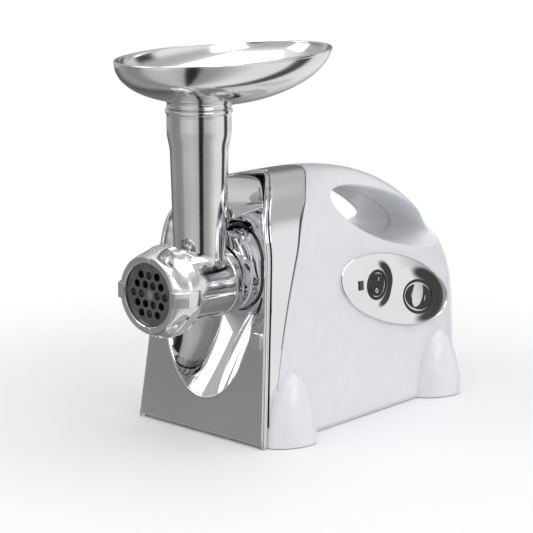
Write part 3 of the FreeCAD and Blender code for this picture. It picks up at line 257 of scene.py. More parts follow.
bushBronze = metalMaterial("sintered bronze", (0.42, 0.27, 0.10), (0.56, 0.38, 0.17), 0.3, 0.45, 500,
                           bump=0.2)
dieCast = metalMaterial("die cast alloy", (0.42, 0.42, 0.43), (0.52, 0.52, 0.53), 0.35, 0.5, 300, bump=0.25)
gearNylon = plasticMaterial("natural nylon", (0.72, 0.69, 0.60), (0.80, 0.77, 0.69), 0.35, 0.45, 120)
brushCarbon = plasticMaterial("brush carbon", (0.02, 0.02, 0.02), (0.05, 0.05, 0.05), 0.5, 0.7, 900, bump=0.3)
lensDark = plasticMaterial("dark lens", (0.012, 0.008, 0.008), (0.022, 0.014, 0.014), 0.08, 0.14, 60, 0.5)

slotMaterials = {
    "polished_aluminium": polishedCast, "satin_aluminium": satinCast, "cast_alloy": dieCast,
    "blade_steel": bladeSteel, "plate_steel": plateSteel, "chrome": mirrorPlate, "socket_chrome": mirrorPlate,
    "white_gloss": glossWhite, "white_plastic": satinWhite, "rubber": footRubber, "panel_chrome": mirrorPlate,
    "black_plastic": satinBlack, "black_gloss": glossBlack, "nylon": gearNylon, "spring_steel": gearSteel,
    "gear_steel": gearSteel, "bronze": bushBronze, "lamination": sheetSteel, "copper": copperWire,
    "carbon": brushCarbon, "lens_dark": lensDark,
}
slotOf = {row["node"]: row["material_slot"] for row in frame["record"]["subparts"]}
for nodeName, nodeObject in frame["nodes"].items():
    nodeObject.data.materials.clear()
    nodeObject.data.materials.append(slotMaterials[slotOf[nodeName]])
print("materials on", len(frame["nodes"]), "CAD nodes")


# Casing shape shared by the cover and the white halves

casing = {
    "length": 273.6, "halfWidth": 72, "height": 210, "floorGap": 0.8, "taper": 0.0714,
    "noseLean": 0.11, "curlHeight": 50, "curlDepth": 60, "crest": 100, "rearRound": 24,
    "stripLow": 13, "stripHigh": 50, "archPower": 0.87, "straightShare": 0.42,
}


def crestHeight(y):
    run = min(max((y - casing["crest"]) / (274 - casing["crest"]), 0.0), 1.0)
    return casing["height"] * (1 - run ** 2.6) ** 0.25


def noseLine(z):
    start = casing["height"] - casing["curlHeight"]
    if z <= start:
        return casing["noseLean"] * z
    rise = min((z - start) / casing["curlHeight"], 1.0)
    return casing["noseLean"] * start + casing["curlDepth"] * (1 - math.sqrt(max(1 - rise * rise, 0.0)))


def seamLine(z):
    share = min(z / (0.9 * casing["height"]), 1.0)
    return noseLine(z) + casing["stripLow"] + (casing["stripHigh"] - casing["stripLow"]) * share ** 1.8


def halfAt(y):
    # half width of the casing at the floor
    turn = max(0.0, 1 - (274 - y) / casing["rearRound"])
    return casing["halfWidth"] - casing["rearRound"] * (1 - math.sqrt(max(1 - min(turn, 1.0) ** 2, 0.0)))


def archPoint(y, share):
    # the casing's right side at one station: share 0 is the bottom edge and 1 the crest
    height = crestHeight(y)
    spring = height * 2 / 3
    half = halfAt(y)
    side = half - casing["taper"] * spring
    straight = casing["straightShare"]
    if share < straight:
        z = mix(casing["floorGap"], spring, share / straight)
        return half - casing["taper"] * z, z
    turn = (share - straight) / (1 - straight) * math.pi / 2
    rise = math.sin(turn) ** casing["archPower"]
    z = spring + (height - spring) * rise
    lean = casing["taper"] * (z - spring) * (1 - rise)
    return (side - lean) * max(math.cos(turn), 0.0) ** casing["archPower"], z


def onCasing(y, share, inset=0.0):
    x, z = archPoint(y, share)
    if inset:
        x2, z2 = archPoint(y, min(share + 0.002, 1.0))
        x1, z1 = archPoint(y, max(share - 0.002, 0.0))
        along = Vector((x2 - x1, 0, z2 - z1)).normalized()
        x -= along.z * inset
        z += along.x * inset
    return Vector((x, y, z))


def shareAtHeight(y, z):
    low, high = 0.0, 1.0
    for _ in range(30):
        middle = (low + high) / 2
        if archPoint(y, middle)[1] < z:
            low = middle
        else:
            high = middle
    return (low + high) / 2


# Front cover: mirror plate with the recess round the head

cover = {
    "lipCentre": 115, "lipAcross": 50, "lipFall": 84, "cheekLow": 98, "cheekHigh": 112,
    "creaseMiddle": 170, "creaseRise": 21, "creaseReach": 46, "rimInset": 4.0, "lipRound": 1.6,
    "collarAcross": 30, "collarRise": 15, "deep": 47,
    "bowlLow": 1.35, "bowlHigh": 2.1,      # how suddenly the recess deepens at its foot and at its top
    "beadRadius": 2.1, "grooveFrom": 4.6, "grooveTo": 6.4, "grooveDepth": 1.8, "scallop": 25.2, "scallopY": 3,
    "bottomSpokes": 56, "archSpokes": 240, "recessRings": 26, "faceRings": 14,
}


def rimSpot(u):
    # the front edge of the cover, from the bottom left, over the top, to the bottom right
    share = 1 - abs(2 * u - 1)
    x, z = archPoint(0, share)
    return Vector((math.copysign(x, 2 * u - 1) if share < 1 else 0.0, noseLine(z), z))


def frontEdge(k):
    # point k of the closed edge round the front face, starting at the bottom left corner
    arch = cover["archSpokes"]
    bottom = cover["bottomSpokes"]
    k = k % (arch + bottom)
    if k <= arch:
        return rimSpot(k / arch)
    right = rimSpot(1.0)
    left = rimSpot(0.0)
    return right.lerp(left, (k - arch) / bottom)


def recessRadius(turn):
    # distance from the auger axis to the edge of the recess, in a direction seen from the front
    right, up = math.cos(turn), math.sin(turn)
    # lower lip: a half ellipse below lipCentre
    a, b = cover["lipAcross"], cover["lipFall"]
    drop = axisHeight - cover["lipCentre"]
    p = right * right / (a * a) + up * up / (b * b)
    q = 2 * up * drop / (b * b)
    s = drop * drop / (b * b) - 1
    lip = (-q + math.sqrt(max(q * q - 4 * p * s, 0.0))) / (2 * p)
    # sides: the rim
    low, high = 0.0, 140.0
    for _ in range(28):
        middle = (low + high) / 2
        z = axisHeight + up * middle
        share = shareAtHeight(0, min(max(z, casing["floorGap"]), casing["height"] - 0.01))
        inside = abs(right) * middle < archPoint(0, share)[0] - cover["rimInset"] and z < casing["height"] - 8
        low, high = (middle, high) if inside else (low, middle)
    rim = low
    # top: the V crease
    crease = 400.0
    slope = up - abs(right) * cover["creaseRise"] / cover["creaseReach"]
    if slope > 0.02:
        crease = (cover["creaseMiddle"] - axisHeight) / slope
    upper = min(rim, crease)
    blend = smoothStep(cover["cheekLow"] - axisHeight, cover["cheekHigh"] - axisHeight, lip * up)
    return mix(min(lip, rim), upper, blend)


def collarRadius(turn):
    # distance from the auger axis to the opening round the head socket
    right, up = math.cos(turn), math.sin(turn)
    radius, rise = cover["collarAcross"], cover["collarRise"]
    if up <= 0:
        return radius
    if abs(right) * rise > radius * up - 1e-9 and radius * up / max(abs(right), 1e-9) < rise:
        return radius / max(abs(right), 1e-9)
    q = rise * up
    return q + math.sqrt(max(q * q - rise * rise + radius * radius, 0.0))


def frontCover():
    bm = bmesh.new()
    count = cover["archSpokes"] + cover["bottomSpokes"]
    edgePoints = [frontEdge(k) for k in range(count)]
    turns = [math.atan2(p.z - axisHeight, p.x) for p in edgePoints]
    recess = [recessRadius(t) for t in turns]
    collar = [collarRadius(t) for t in turns]

    def clearOfTube(x, y, z):
        # keeps the skin behind the feed tube, which leaves a shallow scallop in it
        reach = cover["scallop"]
        if z > axisHeight + 20 and abs(x) < reach:
            y = max(y, cover["scallopY"] + math.sqrt(reach * reach - x * x))
        return Vector((x, y, z))

    def faceSpot(k, radius):
        # a point of the front skin, at a distance from the auger axis
        z = axisHeight + math.sin(turns[k]) * radius
        return clearOfTube(math.cos(turns[k]) * radius, noseLine(max(z, 0.0)), z)

    def ring(maker):
        return lambda u: maker(round(u * count) % count)

    def recessRing(share):
        def maker(k):
            upper = smoothStep(-0.2, 0.5, math.sin(turns[k]))
            power = mix(cover["bowlLow"], cover["bowlHigh"], upper)
            edge = faceSpot(k, recess[k])
            start = mix(collar[k], recess[k], share)
            depth = mix(cover["deep"], edge.y + cover["lipRound"], share ** power)
            return clearOfTube(math.cos(turns[k]) * start, depth, axisHeight + math.sin(turns[k]) * start)
        return maker

    def lipRing(angle):
        def maker(k):
            out = cover["lipRound"] * (1 - math.cos(math.radians(angle)))
            back = cover["lipRound"] * (1 - math.sin(math.radians(angle)))
            spot = faceSpot(k, recess[k] + out)
            return spot + Vector((0, back, 0))
        return maker

    def faceRing(share):
        def maker(k):
            start = recess[k] + cover["lipRound"]
            edge = edgePoints[k]
            middle = Vector((edge.x, 0, edge.z - axisHeight)).length
            inner = min(middle - 2.2, start) if middle - 2.2 > recess[k] else start
            return faceSpot(k, mix(inner, middle - 2.0, share))
        return maker

    def backRing(k):
        spot = recessRing(0.0)(k)
        return spot + Vector((0, 4, 0))
    stations = [ring(backRing)]
    stations += [ring(recessRing(i / cover["recessRings"])) for i in range(cover["recessRings"] + 1)]
    stations += [ring(lipRing(a)) for a in (15, 30, 45, 60, 75, 90)]
    stations += [ring(faceRing(i / cover["faceRings"])) for i in range(cover["faceRings"] + 1)]
    stationGrid(bm, count, stations)

    # bright bead along the edge
    def beadSpot(u, v):
        here = rimSpot(u)
        ahead = rimSpot(min(u + 0.002, 1.0))
        behind = rimSpot(max(u - 0.002, 0.0))
        along = (ahead - behind).normalized()
        back = Vector((0, 1, 0))
        back = (back - along * back.dot(along)).normalized()
        out = along.cross(back).normalized()
        radius = cover["beadRadius"]
        centre = here + back * radius - out * radius
        angle = math.tau * v
        return centre + (out * math.cos(angle) - back * math.sin(angle)) * radius
    shapedGrid(bm, 300, 14, beadSpot)

    # side strip from the groove back to the seam, with the groove ahead of it
    def stripSpot(u, offset, inset):
        share = 1 - abs(2 * u - 1)
        z = archPoint(0, share)[1]
        front = noseLine(z)
        y = mix(front + cover["grooveTo"], seamLine(z) - 0.5, offset) if offset >= 0 else front - offset
        point = onCasing(y, share, inset)
        return Vector((math.copysign(point.x, 2 * u - 1) if share < 1 else 0.0, y, point.z))
    rows = [(-2.4, 1.0), (-cover["grooveFrom"], 0.6), (-cover["grooveFrom"] - 0.1, cover["grooveDepth"]),
            (-cover["grooveTo"] + 0.1, cover["grooveDepth"]), (0.0, 0.35), (0.012, 0.1), (0.03, 0.0)]
    rows += [(0.1 * i, 0.0) for i in range(1, 10)]
    rows += [(0.97, 0.0), (0.99, 0.15), (1.0, 0.6), (1.0, 2.0)]
    stationGrid(bm, 300, [lambda u, row=row: stripSpot(u, *row) for row in rows])
    bmesh.ops.remove_doubles(bm, verts=bm.verts, dist=0.004)
    faceOutwards(bm)
    # faces inside the groove get the near-black second material, which paints shade into the groove of the
    # mirror plate
    for face in bm.faces:
        middle = face.calc_center_median()
        front = noseLine(middle.z)
        ahead = middle.y - front
        rim = archPoint(0, shareAtHeight(0, min(middle.z, casing["height"] - 0.01)))[0]
        nearGroove = cover["grooveFrom"] - 0.05 < ahead < cover["grooveTo"] and abs(middle.x) > rim - 3
        if nearGroove and len(face.verts) == 4:
            if all(abs(vert.co.y - noseLine(vert.co.z)) > cover["grooveFrom"] - 0.4 for vert in face.verts):
                face.material_index = 1
    return makePiece(bm, "mirror_cover", "base", ["front_cover"], [mirrorPlate, grooveShade],
                     30, 1.2)


frontCover()


# White casing halves with the finger hole and the teardrop feet

halfShell = {
    "holeY": 181, "holeZ": 164, "holeTilt": -0.30, "flareLong": 72, "flareHigh": 23.5,
    "throatLong": 69, "throatHigh": 20.5, "throatDepth": 30, "spokes": 288, "rings": 46, "flareRings": 20,
    "throatRings": 10, "footRoot": 67, "footReach": 92, "footLength": 47, "footHeight": 57,
    "footPlaces": (33, 230), "padTop": 0.8, "footSkew": 9,
    "cornerTurns": (214, 322, 372, 506),   # degrees round the hole that face the four corners of the side
}


def holeOutline(turn, long, high):
    y = halfShell["holeY"] + long * math.cos(turn)
    z = halfShell["holeZ"] + halfShell["holeTilt"] * (y - halfShell["holeY"]) + high * math.sin(turn)
    return y, z


def seamAt(share):
    # where the white shell starts at a share of the arch
    y = 60.0
    for _ in range(12):
        y = seamLine(archPoint(y, share)[1])
    return y + 0.3


def squareEdge(t):
    # goes round the unit square from its bottom front corner: rear is 1, crest is 1
    side = int(t * 4) % 4
    along = t * 4 - int(t * 4)
    return [(along, 0.0), (1.0, along), (1 - along, 1.0), (0.0, 1 - along)][side]


def casingHalf(name, node, sign):
    bm = bmesh.new()
    spokes = halfShell["spokes"]
    corners = list(halfShell["cornerTurns"]) + [halfShell["cornerTurns"][0] + 360]
    innerPoints = []
    outerPoints = []
    turnsOf = []
    for k in range(spokes):
        t = k / spokes
        side = int(t * 4)
        turn = math.radians(mix(corners[side], corners[side + 1], t * 4 - side))
        turnsOf.append(turn)
        y, z = holeOutline(turn, halfShell["flareLong"], halfShell["flareHigh"])
        share = shareAtHeight(y, min(z, crestHeight(y) - 0.5))
        front = seamAt(share)
        innerPoints.append(((y - front) / (casing["length"] - front), share))
        outerPoints.append(squareEdge(t))

    def skin(across, share):
        front = seamAt(share)
        return onCasing(mix(front, casing["length"], across), share)

    def outerRing(fraction):
        def spot(u):
            k = round(u * spokes) % spokes
            across = mix(innerPoints[k][0], outerPoints[k][0], fraction)
            share = mix(innerPoints[k][1], outerPoints[k][1], fraction)
            return skin(across, share)
        return spot

    def flareRing(fraction):
        # from the skin (0) round into the straight throat (1)
        def spot(u):
            k = round(u * spokes) % spokes
            edge = skin(*innerPoints[k])
            y, z = holeOutline(turnsOf[k], halfShell["throatLong"], halfShell["throatHigh"])
            bend = fraction * math.pi / 2
            towards = math.sin(bend)
            deeper = 1 - math.cos(bend)
            return Vector((mix(edge.x, halfShell["throatDepth"], deeper), mix(edge.y, y, towards),
                           mix(edge.z, z, towards)))
        return spot

    def throatRing(fraction):
        def spot(u):
            k = round(u * spokes) % spokes
            joint = 0.35 * smoothStep(0.97, 1.0, fraction)
            y, z = holeOutline(turnsOf[k], halfShell["throatLong"] + joint, halfShell["throatHigh"] + joint)
            return Vector((mix(halfShell["throatDepth"], 0.12, fraction), y, z))
        return spot
    stations = [throatRing(1 - i / halfShell["throatRings"]) for i in range(halfShell["throatRings"])]
    stations += [flareRing(1 - i / halfShell["flareRings"]) for i in range(halfShell["flareRings"])]
    stations += [outerRing((i / halfShell["rings"]) ** 1.15) for i in range(halfShell["rings"] + 1)]
    stationGrid(bm, spokes, stations)

    # the flat end wall, drawn in to the middle
    def endSpot(u, v):
        point = skin(1.0, u)
        return Vector((point.x * (1 - v), point.y + 0.3 * (1 - (1 - v) ** 2), point.z))
    shapedGrid(bm, 72, 8, endSpot)
    bmesh.ops.remove_doubles(bm, verts=bm.verts, dist=0.01)
    bmesh.ops.dissolve_degenerate(bm, edges=bm.edges, dist=0.001)

    # feet
    for footY in halfShell["footPlaces"]:
        made = bmesh.ops.create_uvsphere(bm, u_segments=64, v_segments=48, radius=1.0)
        for vert in made["verts"]:
            out, along, up = vert.co.x, vert.co.y, vert.co.z
            up = max(up, 0.0)
            rear = 0.86 if along > 0 else 1.0
            boxy = math.copysign(abs(out) ** 0.9, out)
            z = max(up * halfShell["footHeight"], halfShell["padTop"])
            reach = halfShell["footReach"] - halfShell["footRoot"]
            vert.co = (halfShell["footRoot"] + boxy * reach - 0.02 * z,
                       footY + along * rear * halfShell["footLength"] / 2 + casing["noseLean"] * z
                       + halfShell["footSkew"] * (max(out, 0.0) ** 2 - 0.5) * (1 - up ** 4), z)
    bmesh.ops.remove_doubles(bm, verts=bm.verts, dist=0.01)
    if sign < 0:
        bmesh.ops.scale(bm, vec=(-1, 1, 1), verts=bm.verts)
    faceOutwards(bm)
    return makePiece(bm, name, "base", [node], [glossWhite], 40, 1.6)


casingHalf("white_half_right", "right_housing", 1)
casingHalf("white_half_left", "left_housing", -1)


# Hopper tray

tray = {
    "halfLong": 103, "halfWide": 71.5, "depth": 41, "top": 309.8, "middleY": 34, "lean": 2, "sag": 0.2,
    "neckY": 3, "neckRadius": 23.3, "neckBore": 21.7, "spigotEnd": 245,
    "collarRadius": 25.6, "collarLow": 269.3,
    "wall": 1.5, "rimRadius": 1.4, "around": 224, "bowlRings": 40,
}


def leaned(x, y, z):
    # tips a point of the bowl about the top of its neck, so that the rim climbs to the rear
    turn = math.radians(tray["lean"])
    along, up = y - tray["neckY"], z - tray["top"]
    return Vector((x, tray["neckY"] + along * math.cos(turn) - up * math.sin(turn),
                   tray["top"] + up * math.cos(turn) + along * math.sin(turn)))


def bowlSpot(turn, fraction, shrink, foot):
    # a point of the bowl: fraction 0 is on the neck, a circle of radius foot, and 1 is the rim
    wide, long = tray["halfWide"] - shrink, tray["halfLong"] - shrink

    def bare(share):
        start = Vector((foot * math.sin(turn), tray["neckY"] - foot * math.cos(turn)))
        end = Vector((wide * math.sin(turn), tray["middleY"] - long * math.cos(turn)))
        plan = start.lerp(end, math.sin(share * math.pi / 2))
        reach = min((plan.x / wide) ** 2 + ((plan.y - tray["middleY"]) / long) ** 2, 1.0)
        drop = (tray["depth"] - shrink) * math.sqrt(max(1 - reach, 0.0))
        return leaned(plan.x, plan.y - tray["sag"] * drop, tray["top"] - drop)
    point, root = bare(fraction), bare(0.0)
    pull = (1 - fraction) ** 4
    point.x += (foot * math.sin(turn) - root.x) * pull
    point.y += (tray["neckY"] - foot * math.cos(turn) - root.y) * pull
    return point


def hopperTray():
    bm = bmesh.new()
    rings = tray["bowlRings"]
    collar, low = tray["collarRadius"], tray["collarLow"]

    def neckRing(radius, z, under=None):
        def spot(u):
            turn = math.tau * u
            top = z if under is None else min(z, bowlSpot(turn, 0.0, 0.0, collar).z - under)
            return Vector((radius * math.sin(turn), tray["neckY"] - radius * math.cos(turn), top))
        return spot

    def innerRing(fraction):
        def spot(u):
            point = bowlSpot(math.tau * u, fraction, tray["wall"], tray["neckBore"])
            point.z -= 1.6 * (1 - smoothStep(0.0, 0.09, fraction))
            return point
        return spot

    def rimRing(angle):
        def spot(u):
            turn = math.tau * u
            out = Vector((math.sin(turn) / tray["halfWide"], -math.cos(turn) / tray["halfLong"])).normalized()
            radius = tray["rimRadius"]
            side = math.cos(math.radians(angle)) * radius
            return leaned((tray["halfWide"] - radius) * math.sin(turn) - out.x * side,
                          tray["middleY"] - (tray["halfLong"] - radius) * math.cos(turn) - out.y * side,
                          tray["top"] - radius + math.sin(math.radians(angle)) * radius)
        return spot

    def outerRing(fraction):
        return lambda u: bowlSpot(math.tau * u, fraction, 0.3, collar)
    stations = [neckRing(tray["neckBore"], tray["spigotEnd"] + 0.6 + 2.6 * i) for i in range(10)]
    stations += [innerRing(i / rings) for i in range(rings + 1)]
    stations += [rimRing(a) for a in range(10, 231, 20)]
    stations += [outerRing(1 - i / rings) for i in range(1, rings)]
    stations += [neckRing(collar, low + 4, 0.05), neckRing(collar, low + 1.6, 0.1)]
    stations += [neckRing(collar + 0.5, low + 1.1, 0.15), neckRing(collar + 0.5, low + 0.4, 0.2)]
    stations += [neckRing(collar, low), neckRing(tray["neckRadius"], low)]
    stations += [neckRing(tray["neckRadius"], tray["spigotEnd"] + 0.5),
                 neckRing(tray["neckRadius"] - 0.5, tray["spigotEnd"])]
    stationGrid(bm, tray["around"], stations, closed=True)
    closeSeams(bm)
    return makePiece(bm, "oval_tray", "tray", ["hopper_tray"], [spunPan], 50)


hopperTray()


# Mincing head: barrel, feed tube and the saddle between them

head = {
    "barrelRadius": 28, "front": -51, "back": 23, "boreRadius": 24.6, "flangeRadius": 29.5,
    "neckRadius": 24.3, "neckBack": 46, "neckBore": 11, "tubeY": 3, "tubeLow": 20.6, "tubeHigh": 23.6,
    "shoulderLow": 237, "shoulderHigh": 250, "bellRadius": 25.9, "top": 269, "wall": 2.2, "saddle": 5.5,
}


def tubeRadius(z):
    share = (z - axisHeight) / (head["shoulderLow"] - axisHeight)
    taper = mix(head["tubeLow"], head["tubeHigh"], min(share, 1.0))
    return mix(taper, head["bellRadius"], smoothStep(head["shoulderLow"] - 3, head["shoulderHigh"], z))


def mincingHead():
    bm = bmesh.new()
    barrel = head["barrelRadius"]
    front, back, bore = head["front"], head["back"], head["boreRadius"]
    flange, neck, end = head["flangeRadius"], head["neckRadius"], head["neckBack"]
    outline = [(front + 6, bore), (front, 26.6), (front, barrel),
               (front + 16, barrel + 0.45), (front + 17, barrel)]
    outline += [(mix(front + 17, back - 9, i / 8), barrel) for i in range(1, 9)]
    for degrees in range(0, 91, 15):
        bend = math.radians(degrees)
        outline.append((back - 9 + 3.0 * math.sin(bend), barrel + 1.5 * (1 - math.cos(bend))))
    outline += [(back - 1.2, flange), (back - 0.4, flange - 0.3), (back, flange - 1.0), (back, neck + 0.4),
                (back + 0.6, neck), (end - 0.6, neck), (end, neck - 0.6), (end, head["neckBore"]),
                (back - 3, head["neckBore"]), (back - 3, bore), (front + 6, bore)]
    turnedProfile(bm, outline, 160, (0, 0, axisHeight), (0, 1, 0))

    # feed tube: from inside the barrel up to its bead, then down the bore
    low, top, bell, wall = axisHeight + 14, head["top"], head["bellRadius"], head["wall"]
    tube = [(z, tubeRadius(z)) for z in [mix(low, top - 5.2, i / 60) for i in range(61)]]
    for degrees in range(-80, 81, 20):
        bend = math.radians(degrees)
        tube.append((top - 2.4 + 2.0 * math.sin(bend), bell - 0.1 + 1.2 * math.cos(bend)))
    tube += [(top, bell - 0.3), (top, bell - wall + 0.4), (top - 0.5, bell - wall)]
    tube += [(z, tubeRadius(z) - wall) for z in (262, 252, 247, 243, 239, 220, 190, 160, low)]
    tube += [(low, tubeRadius(low))]
    turnedProfile(bm, [(z - axisHeight, r) for z, r in tube], 128, (0, head["tubeY"], axisHeight), (0, 0, 1))

    # saddle: a rounded fillet where the tube stands on the barrel
    def saddleSpot(u, v):
        turn = math.tau * u
        grow = head["saddle"] * (1 - 0.72 * max(math.cos(turn), 0.0) ** 2)
        across, rearwards = math.sin(turn), math.cos(turn)
        foot = head["tubeLow"] + 0.3 + grow
        root = head["tubeLow"] + 0.4

        def onBarrel(radius, sink):
            x = across * radius
            return Vector((x, min(head["tubeY"] + rearwards * radius, back - 1),
                           axisHeight + math.sqrt(max((barrel - sink) ** 2 - x * x, 0.0))))
        a = onBarrel(foot, 0.12)
        b = onBarrel(root, 0.0)
        c = Vector((b.x, b.y, b.z + grow * 1.25))
        radius = tubeRadius(c.z) - 0.1
        c = Vector((across * radius, head["tubeY"] + rearwards * radius, c.z))
        return a * (1 - v) ** 2 + b * 2 * v * (1 - v) + c * v * v
    shapedGrid(bm, 128, 12, saddleSpot)
    joinUp(bm, 0.003)
    return makePiece(bm, "mincing_head", "head", ["head_housing"], [polishedCast], 32)


mincingHead()


# Ring nut with its lugs

ring = {
    "front": -57.1, "length": 25, "faceRadius": 31, "radius": 37.5, "coneLength": 16, "mouth": 25.6,
    "lip": 2.3, "bore": 28.8, "flute": 3.4, "steps": 240, "lugWide": 12.5, "lugRadius": 38.2, "lugSlope": 9,
    "ribWide": 1.9, "ribPitch": 4.4,
}


def ringNut():
    bm = bmesh.new()
    front = ring["front"]
    back = front + ring["length"]
    lip, bore, mouth = front + ring["lip"], ring["bore"], ring["mouth"]
    face, outer = ring["faceRadius"], ring["radius"]
    outline = [(lip, bore), (lip, mouth + 0.6), (lip - 0.6, mouth), (front + 0.5, mouth), (front, mouth + 0.5),
               (front, face - 0.9), (front + 0.3, face - 0.25)]
    for i in range(13):
        outline.append((front + 1 + ring["coneLength"] * i / 12, mix(face + 0.2, outer, (i / 12) ** 0.8)))
    outline += [(back - 3, outer), (back - 1, outer - 0.2), (back - 0.3, outer - 0.8), (back, outer - 1.6),
                (back, bore + 0.5), (back - 0.5, bore), (lip, bore)]
    turnedProfile(bm, outline, ring["steps"], (0, 0, axisHeight), (0, 1, 0))
    for vert in bm.verts:
        across = Vector((vert.co.x, 0, vert.co.z - axisHeight))
        radius = across.length
        if radius > face - 0.4 and vert.co.y > front + 0.2:
            turn = math.atan2(across.z, across.x)
            deep = abs(math.sin(2 * turn)) ** 2.2
            along = smoothStep(front + 1, front + 14, vert.co.y)
            cutIn = ring["flute"] * deep * along * (1 - 0.6 * smoothStep(back - 5, back, vert.co.y))
            across = across * ((radius - cutIn) / radius)
            vert.co = (across.x, vert.co.y, axisHeight + across.z)

    # two wide lugs left and right, and three thin ribs above and below, each with a sloping front
    def wedge(side, offset, wide, inner, frontRadius, rearRadius, start, end, bevel):
        made = bmesh.ops.create_cube(bm, size=1.0)["verts"]
        for vert in made:
            ahead = vert.co.y < 0
            radius = (frontRadius if ahead else rearRadius) if vert.co.x > 0 else inner
            vert.co = (radius, start if ahead else end, offset + vert.co.z * wide)
        edges = list({edge for vert in made for edge in vert.link_edges})
        rounded = bmesh.ops.bevel(bm, geom=made + edges, offset=bevel, segments=3, affect="EDGES",
                                  profile=0.5, material=-1)["verts"]
        bmesh.ops.rotate(bm, cent=(0, 0, 0), matrix=Matrix.Rotation(math.radians(side), 3, "Y"),
                         verts=rounded)
        bmesh.ops.translate(bm, vec=(0, 0, axisHeight), verts=rounded)
    proud = ring["lugRadius"]
    for side in (0, 180):
        wedge(side, 0, ring["lugWide"], mouth + 0.4, 32.5, proud, front - 0.8, front + ring["lugSlope"], 0.5)
        wedge(side, 0, ring["lugWide"], mouth + 3.4, proud, proud, front + 8.4, back - 3, 0.5)
    for side in (90, 270):
        for offset in (-ring["ribPitch"], 0.0, ring["ribPitch"]):
            wedge(side, offset, ring["ribWide"], bore + 1, 35.4, proud, front + 7.5, back - 1.2, 0.5)
        wedge(side, 0, 7.5, mouth + 0.8, 30.4, 31.2, front - 0.7, front + 2, 0.4)
    joinUp(bm, 0.003)
    return makePiece(bm, "lugged_ring", "ring", ["ring_nut"], [polishedCast], 28)


ringNut()


# Head socket: the upright rounded collar behind the barrel

socket = {"radius": 28, "rise": 15, "front": 25, "back": 51.5, "bore": 24.7, "around": 128}


def socketRing(radius, y):
    # a stadium outline: a circle whose upper half is lifted
    def spot(u):
        turn = math.tau * u
        lift = 0.0
        if radius > socket["bore"] + 0.4:
            lift = socket["rise"] * smoothStep(-0.06, 0.06, math.sin(turn))
        return Vector((radius * math.cos(turn), y, axisHeight + radius * math.sin(turn) + lift))
    return spot


def headSocket():
    bm = bmesh.new()
    front, back, bore, radius = socket["front"], socket["back"], socket["bore"], socket["radius"]
    steps = [(bore, back), (bore, front + 0.6), (bore + 0.3, front), (radius - 1.8, front),
             (radius - 1.0, front + 0.3), (radius - 0.4, front + 1.2), (radius - 0.3, front + 7),
             (radius - 1.3, front + 7.6), (radius - 1.3, front + 9.4), (radius - 0.3, front + 10),
             (radius, front + 11), (radius, back)]
    stationGrid(bm, socket["around"], [socketRing(r, y) for r, y in steps], closed=True)
    closeSeams(bm)
    return makePiece(bm, "socket_collar", "base", ["head_socket"], [mirrorPlate], 30)


headSocket()


# Control panel and its switches, on the leaning right side

panel = {
    "y": 177, "z": 102, "halfLong": 76, "halfHigh": 30.3, "tilt": 16.9, "thick": 2.4, "bezel": 2.8,
    "rings": 60, "around": 192,
}
# long and high are half sizes; dome is the half length, half height and rise of the raised surround
switches = {
    "power": {"y": 149, "z": 110.5, "long": 10.4, "high": 10.4, "gap": 0.6, "dome": (13.4, 13.4, 1.1)},
    "direction": {"y": 205, "z": 91, "long": 20, "high": 12.5, "gap": 0.7, "dome": (23.0, 15.5, 1.5)},
}
leanTurn = math.atan(casing["taper"])


def panelPoint(y, z, out, along, up):
    # a point beside (y, z) on the leaning side: out from it, along to the rear and up, in mm
    base = Vector((casing["halfWidth"] - casing["taper"] * z, y, z))
    outward = Vector((math.cos(leanTurn), 0, math.sin(leanTurn)))
    upward = Vector((-math.sin(leanTurn), 0, math.cos(leanTurn)))
    return base + outward * out + Vector((0, 1, 0)) * along + upward * up


def tilted(long, high):
    turn = math.radians(panel["tilt"])
    return long * math.cos(turn) + high * math.sin(turn), high * math.cos(turn) - long * math.sin(turn)


def dome(along, up, switch):
    # a raised surround: flat on top out to the switch, then falling away
    long, high, rise = switch["dome"]
    a, b = along - (switch["y"] - panel["y"]), up - (switch["z"] - panel["z"])
    turn = math.radians(panel["tilt"])
    a, b = a * math.cos(turn) - b * math.sin(turn), a * math.sin(turn) + b * math.cos(turn)
    reach = math.sqrt((a / long) ** 2 + (b / high) ** 2)
    return rise * (1 - smoothStep(0.95, 1.75, reach))


def controlPanel():
    bm = bmesh.new()
    thick = panel["thick"]

    def oval(u, fraction):
        turn = math.tau * u
        return tilted(panel["halfLong"] * math.cos(turn) * fraction,
                      panel["halfHigh"] * math.sin(turn) * fraction)

    def top(u, fraction):
        along, up = oval(u, fraction)
        rise = max(dome(along, up, switch) for switch in switches.values())
        level = thick - 1.0 + 0.9 * (1 - fraction ** 2) + rise * (1 - fraction ** 6)
        return panelPoint(panel["y"], panel["z"], level, along, up)

    def edge(fraction, out):
        return lambda u: panelPoint(panel["y"], panel["z"], out, *oval(u, fraction))
    rings = panel["rings"]
    stations = [lambda u, f=i / rings * 0.972: top(u, f) for i in range(rings + 1)]
    stations += [edge(0.978, thick - 0.6), edge(0.984, thick - 0.2), edge(0.992, thick - 0.2),
                 edge(0.998, thick - 0.6), edge(1.0, thick - 1.2), edge(1.0, -1.5)]
    stationGrid(bm, panel["around"], stations)
    closeSeams(bm, 0.01)
    return makePiece(bm, "switch_panel", "base", ["control_panel"], [mirrorPlate], 24)


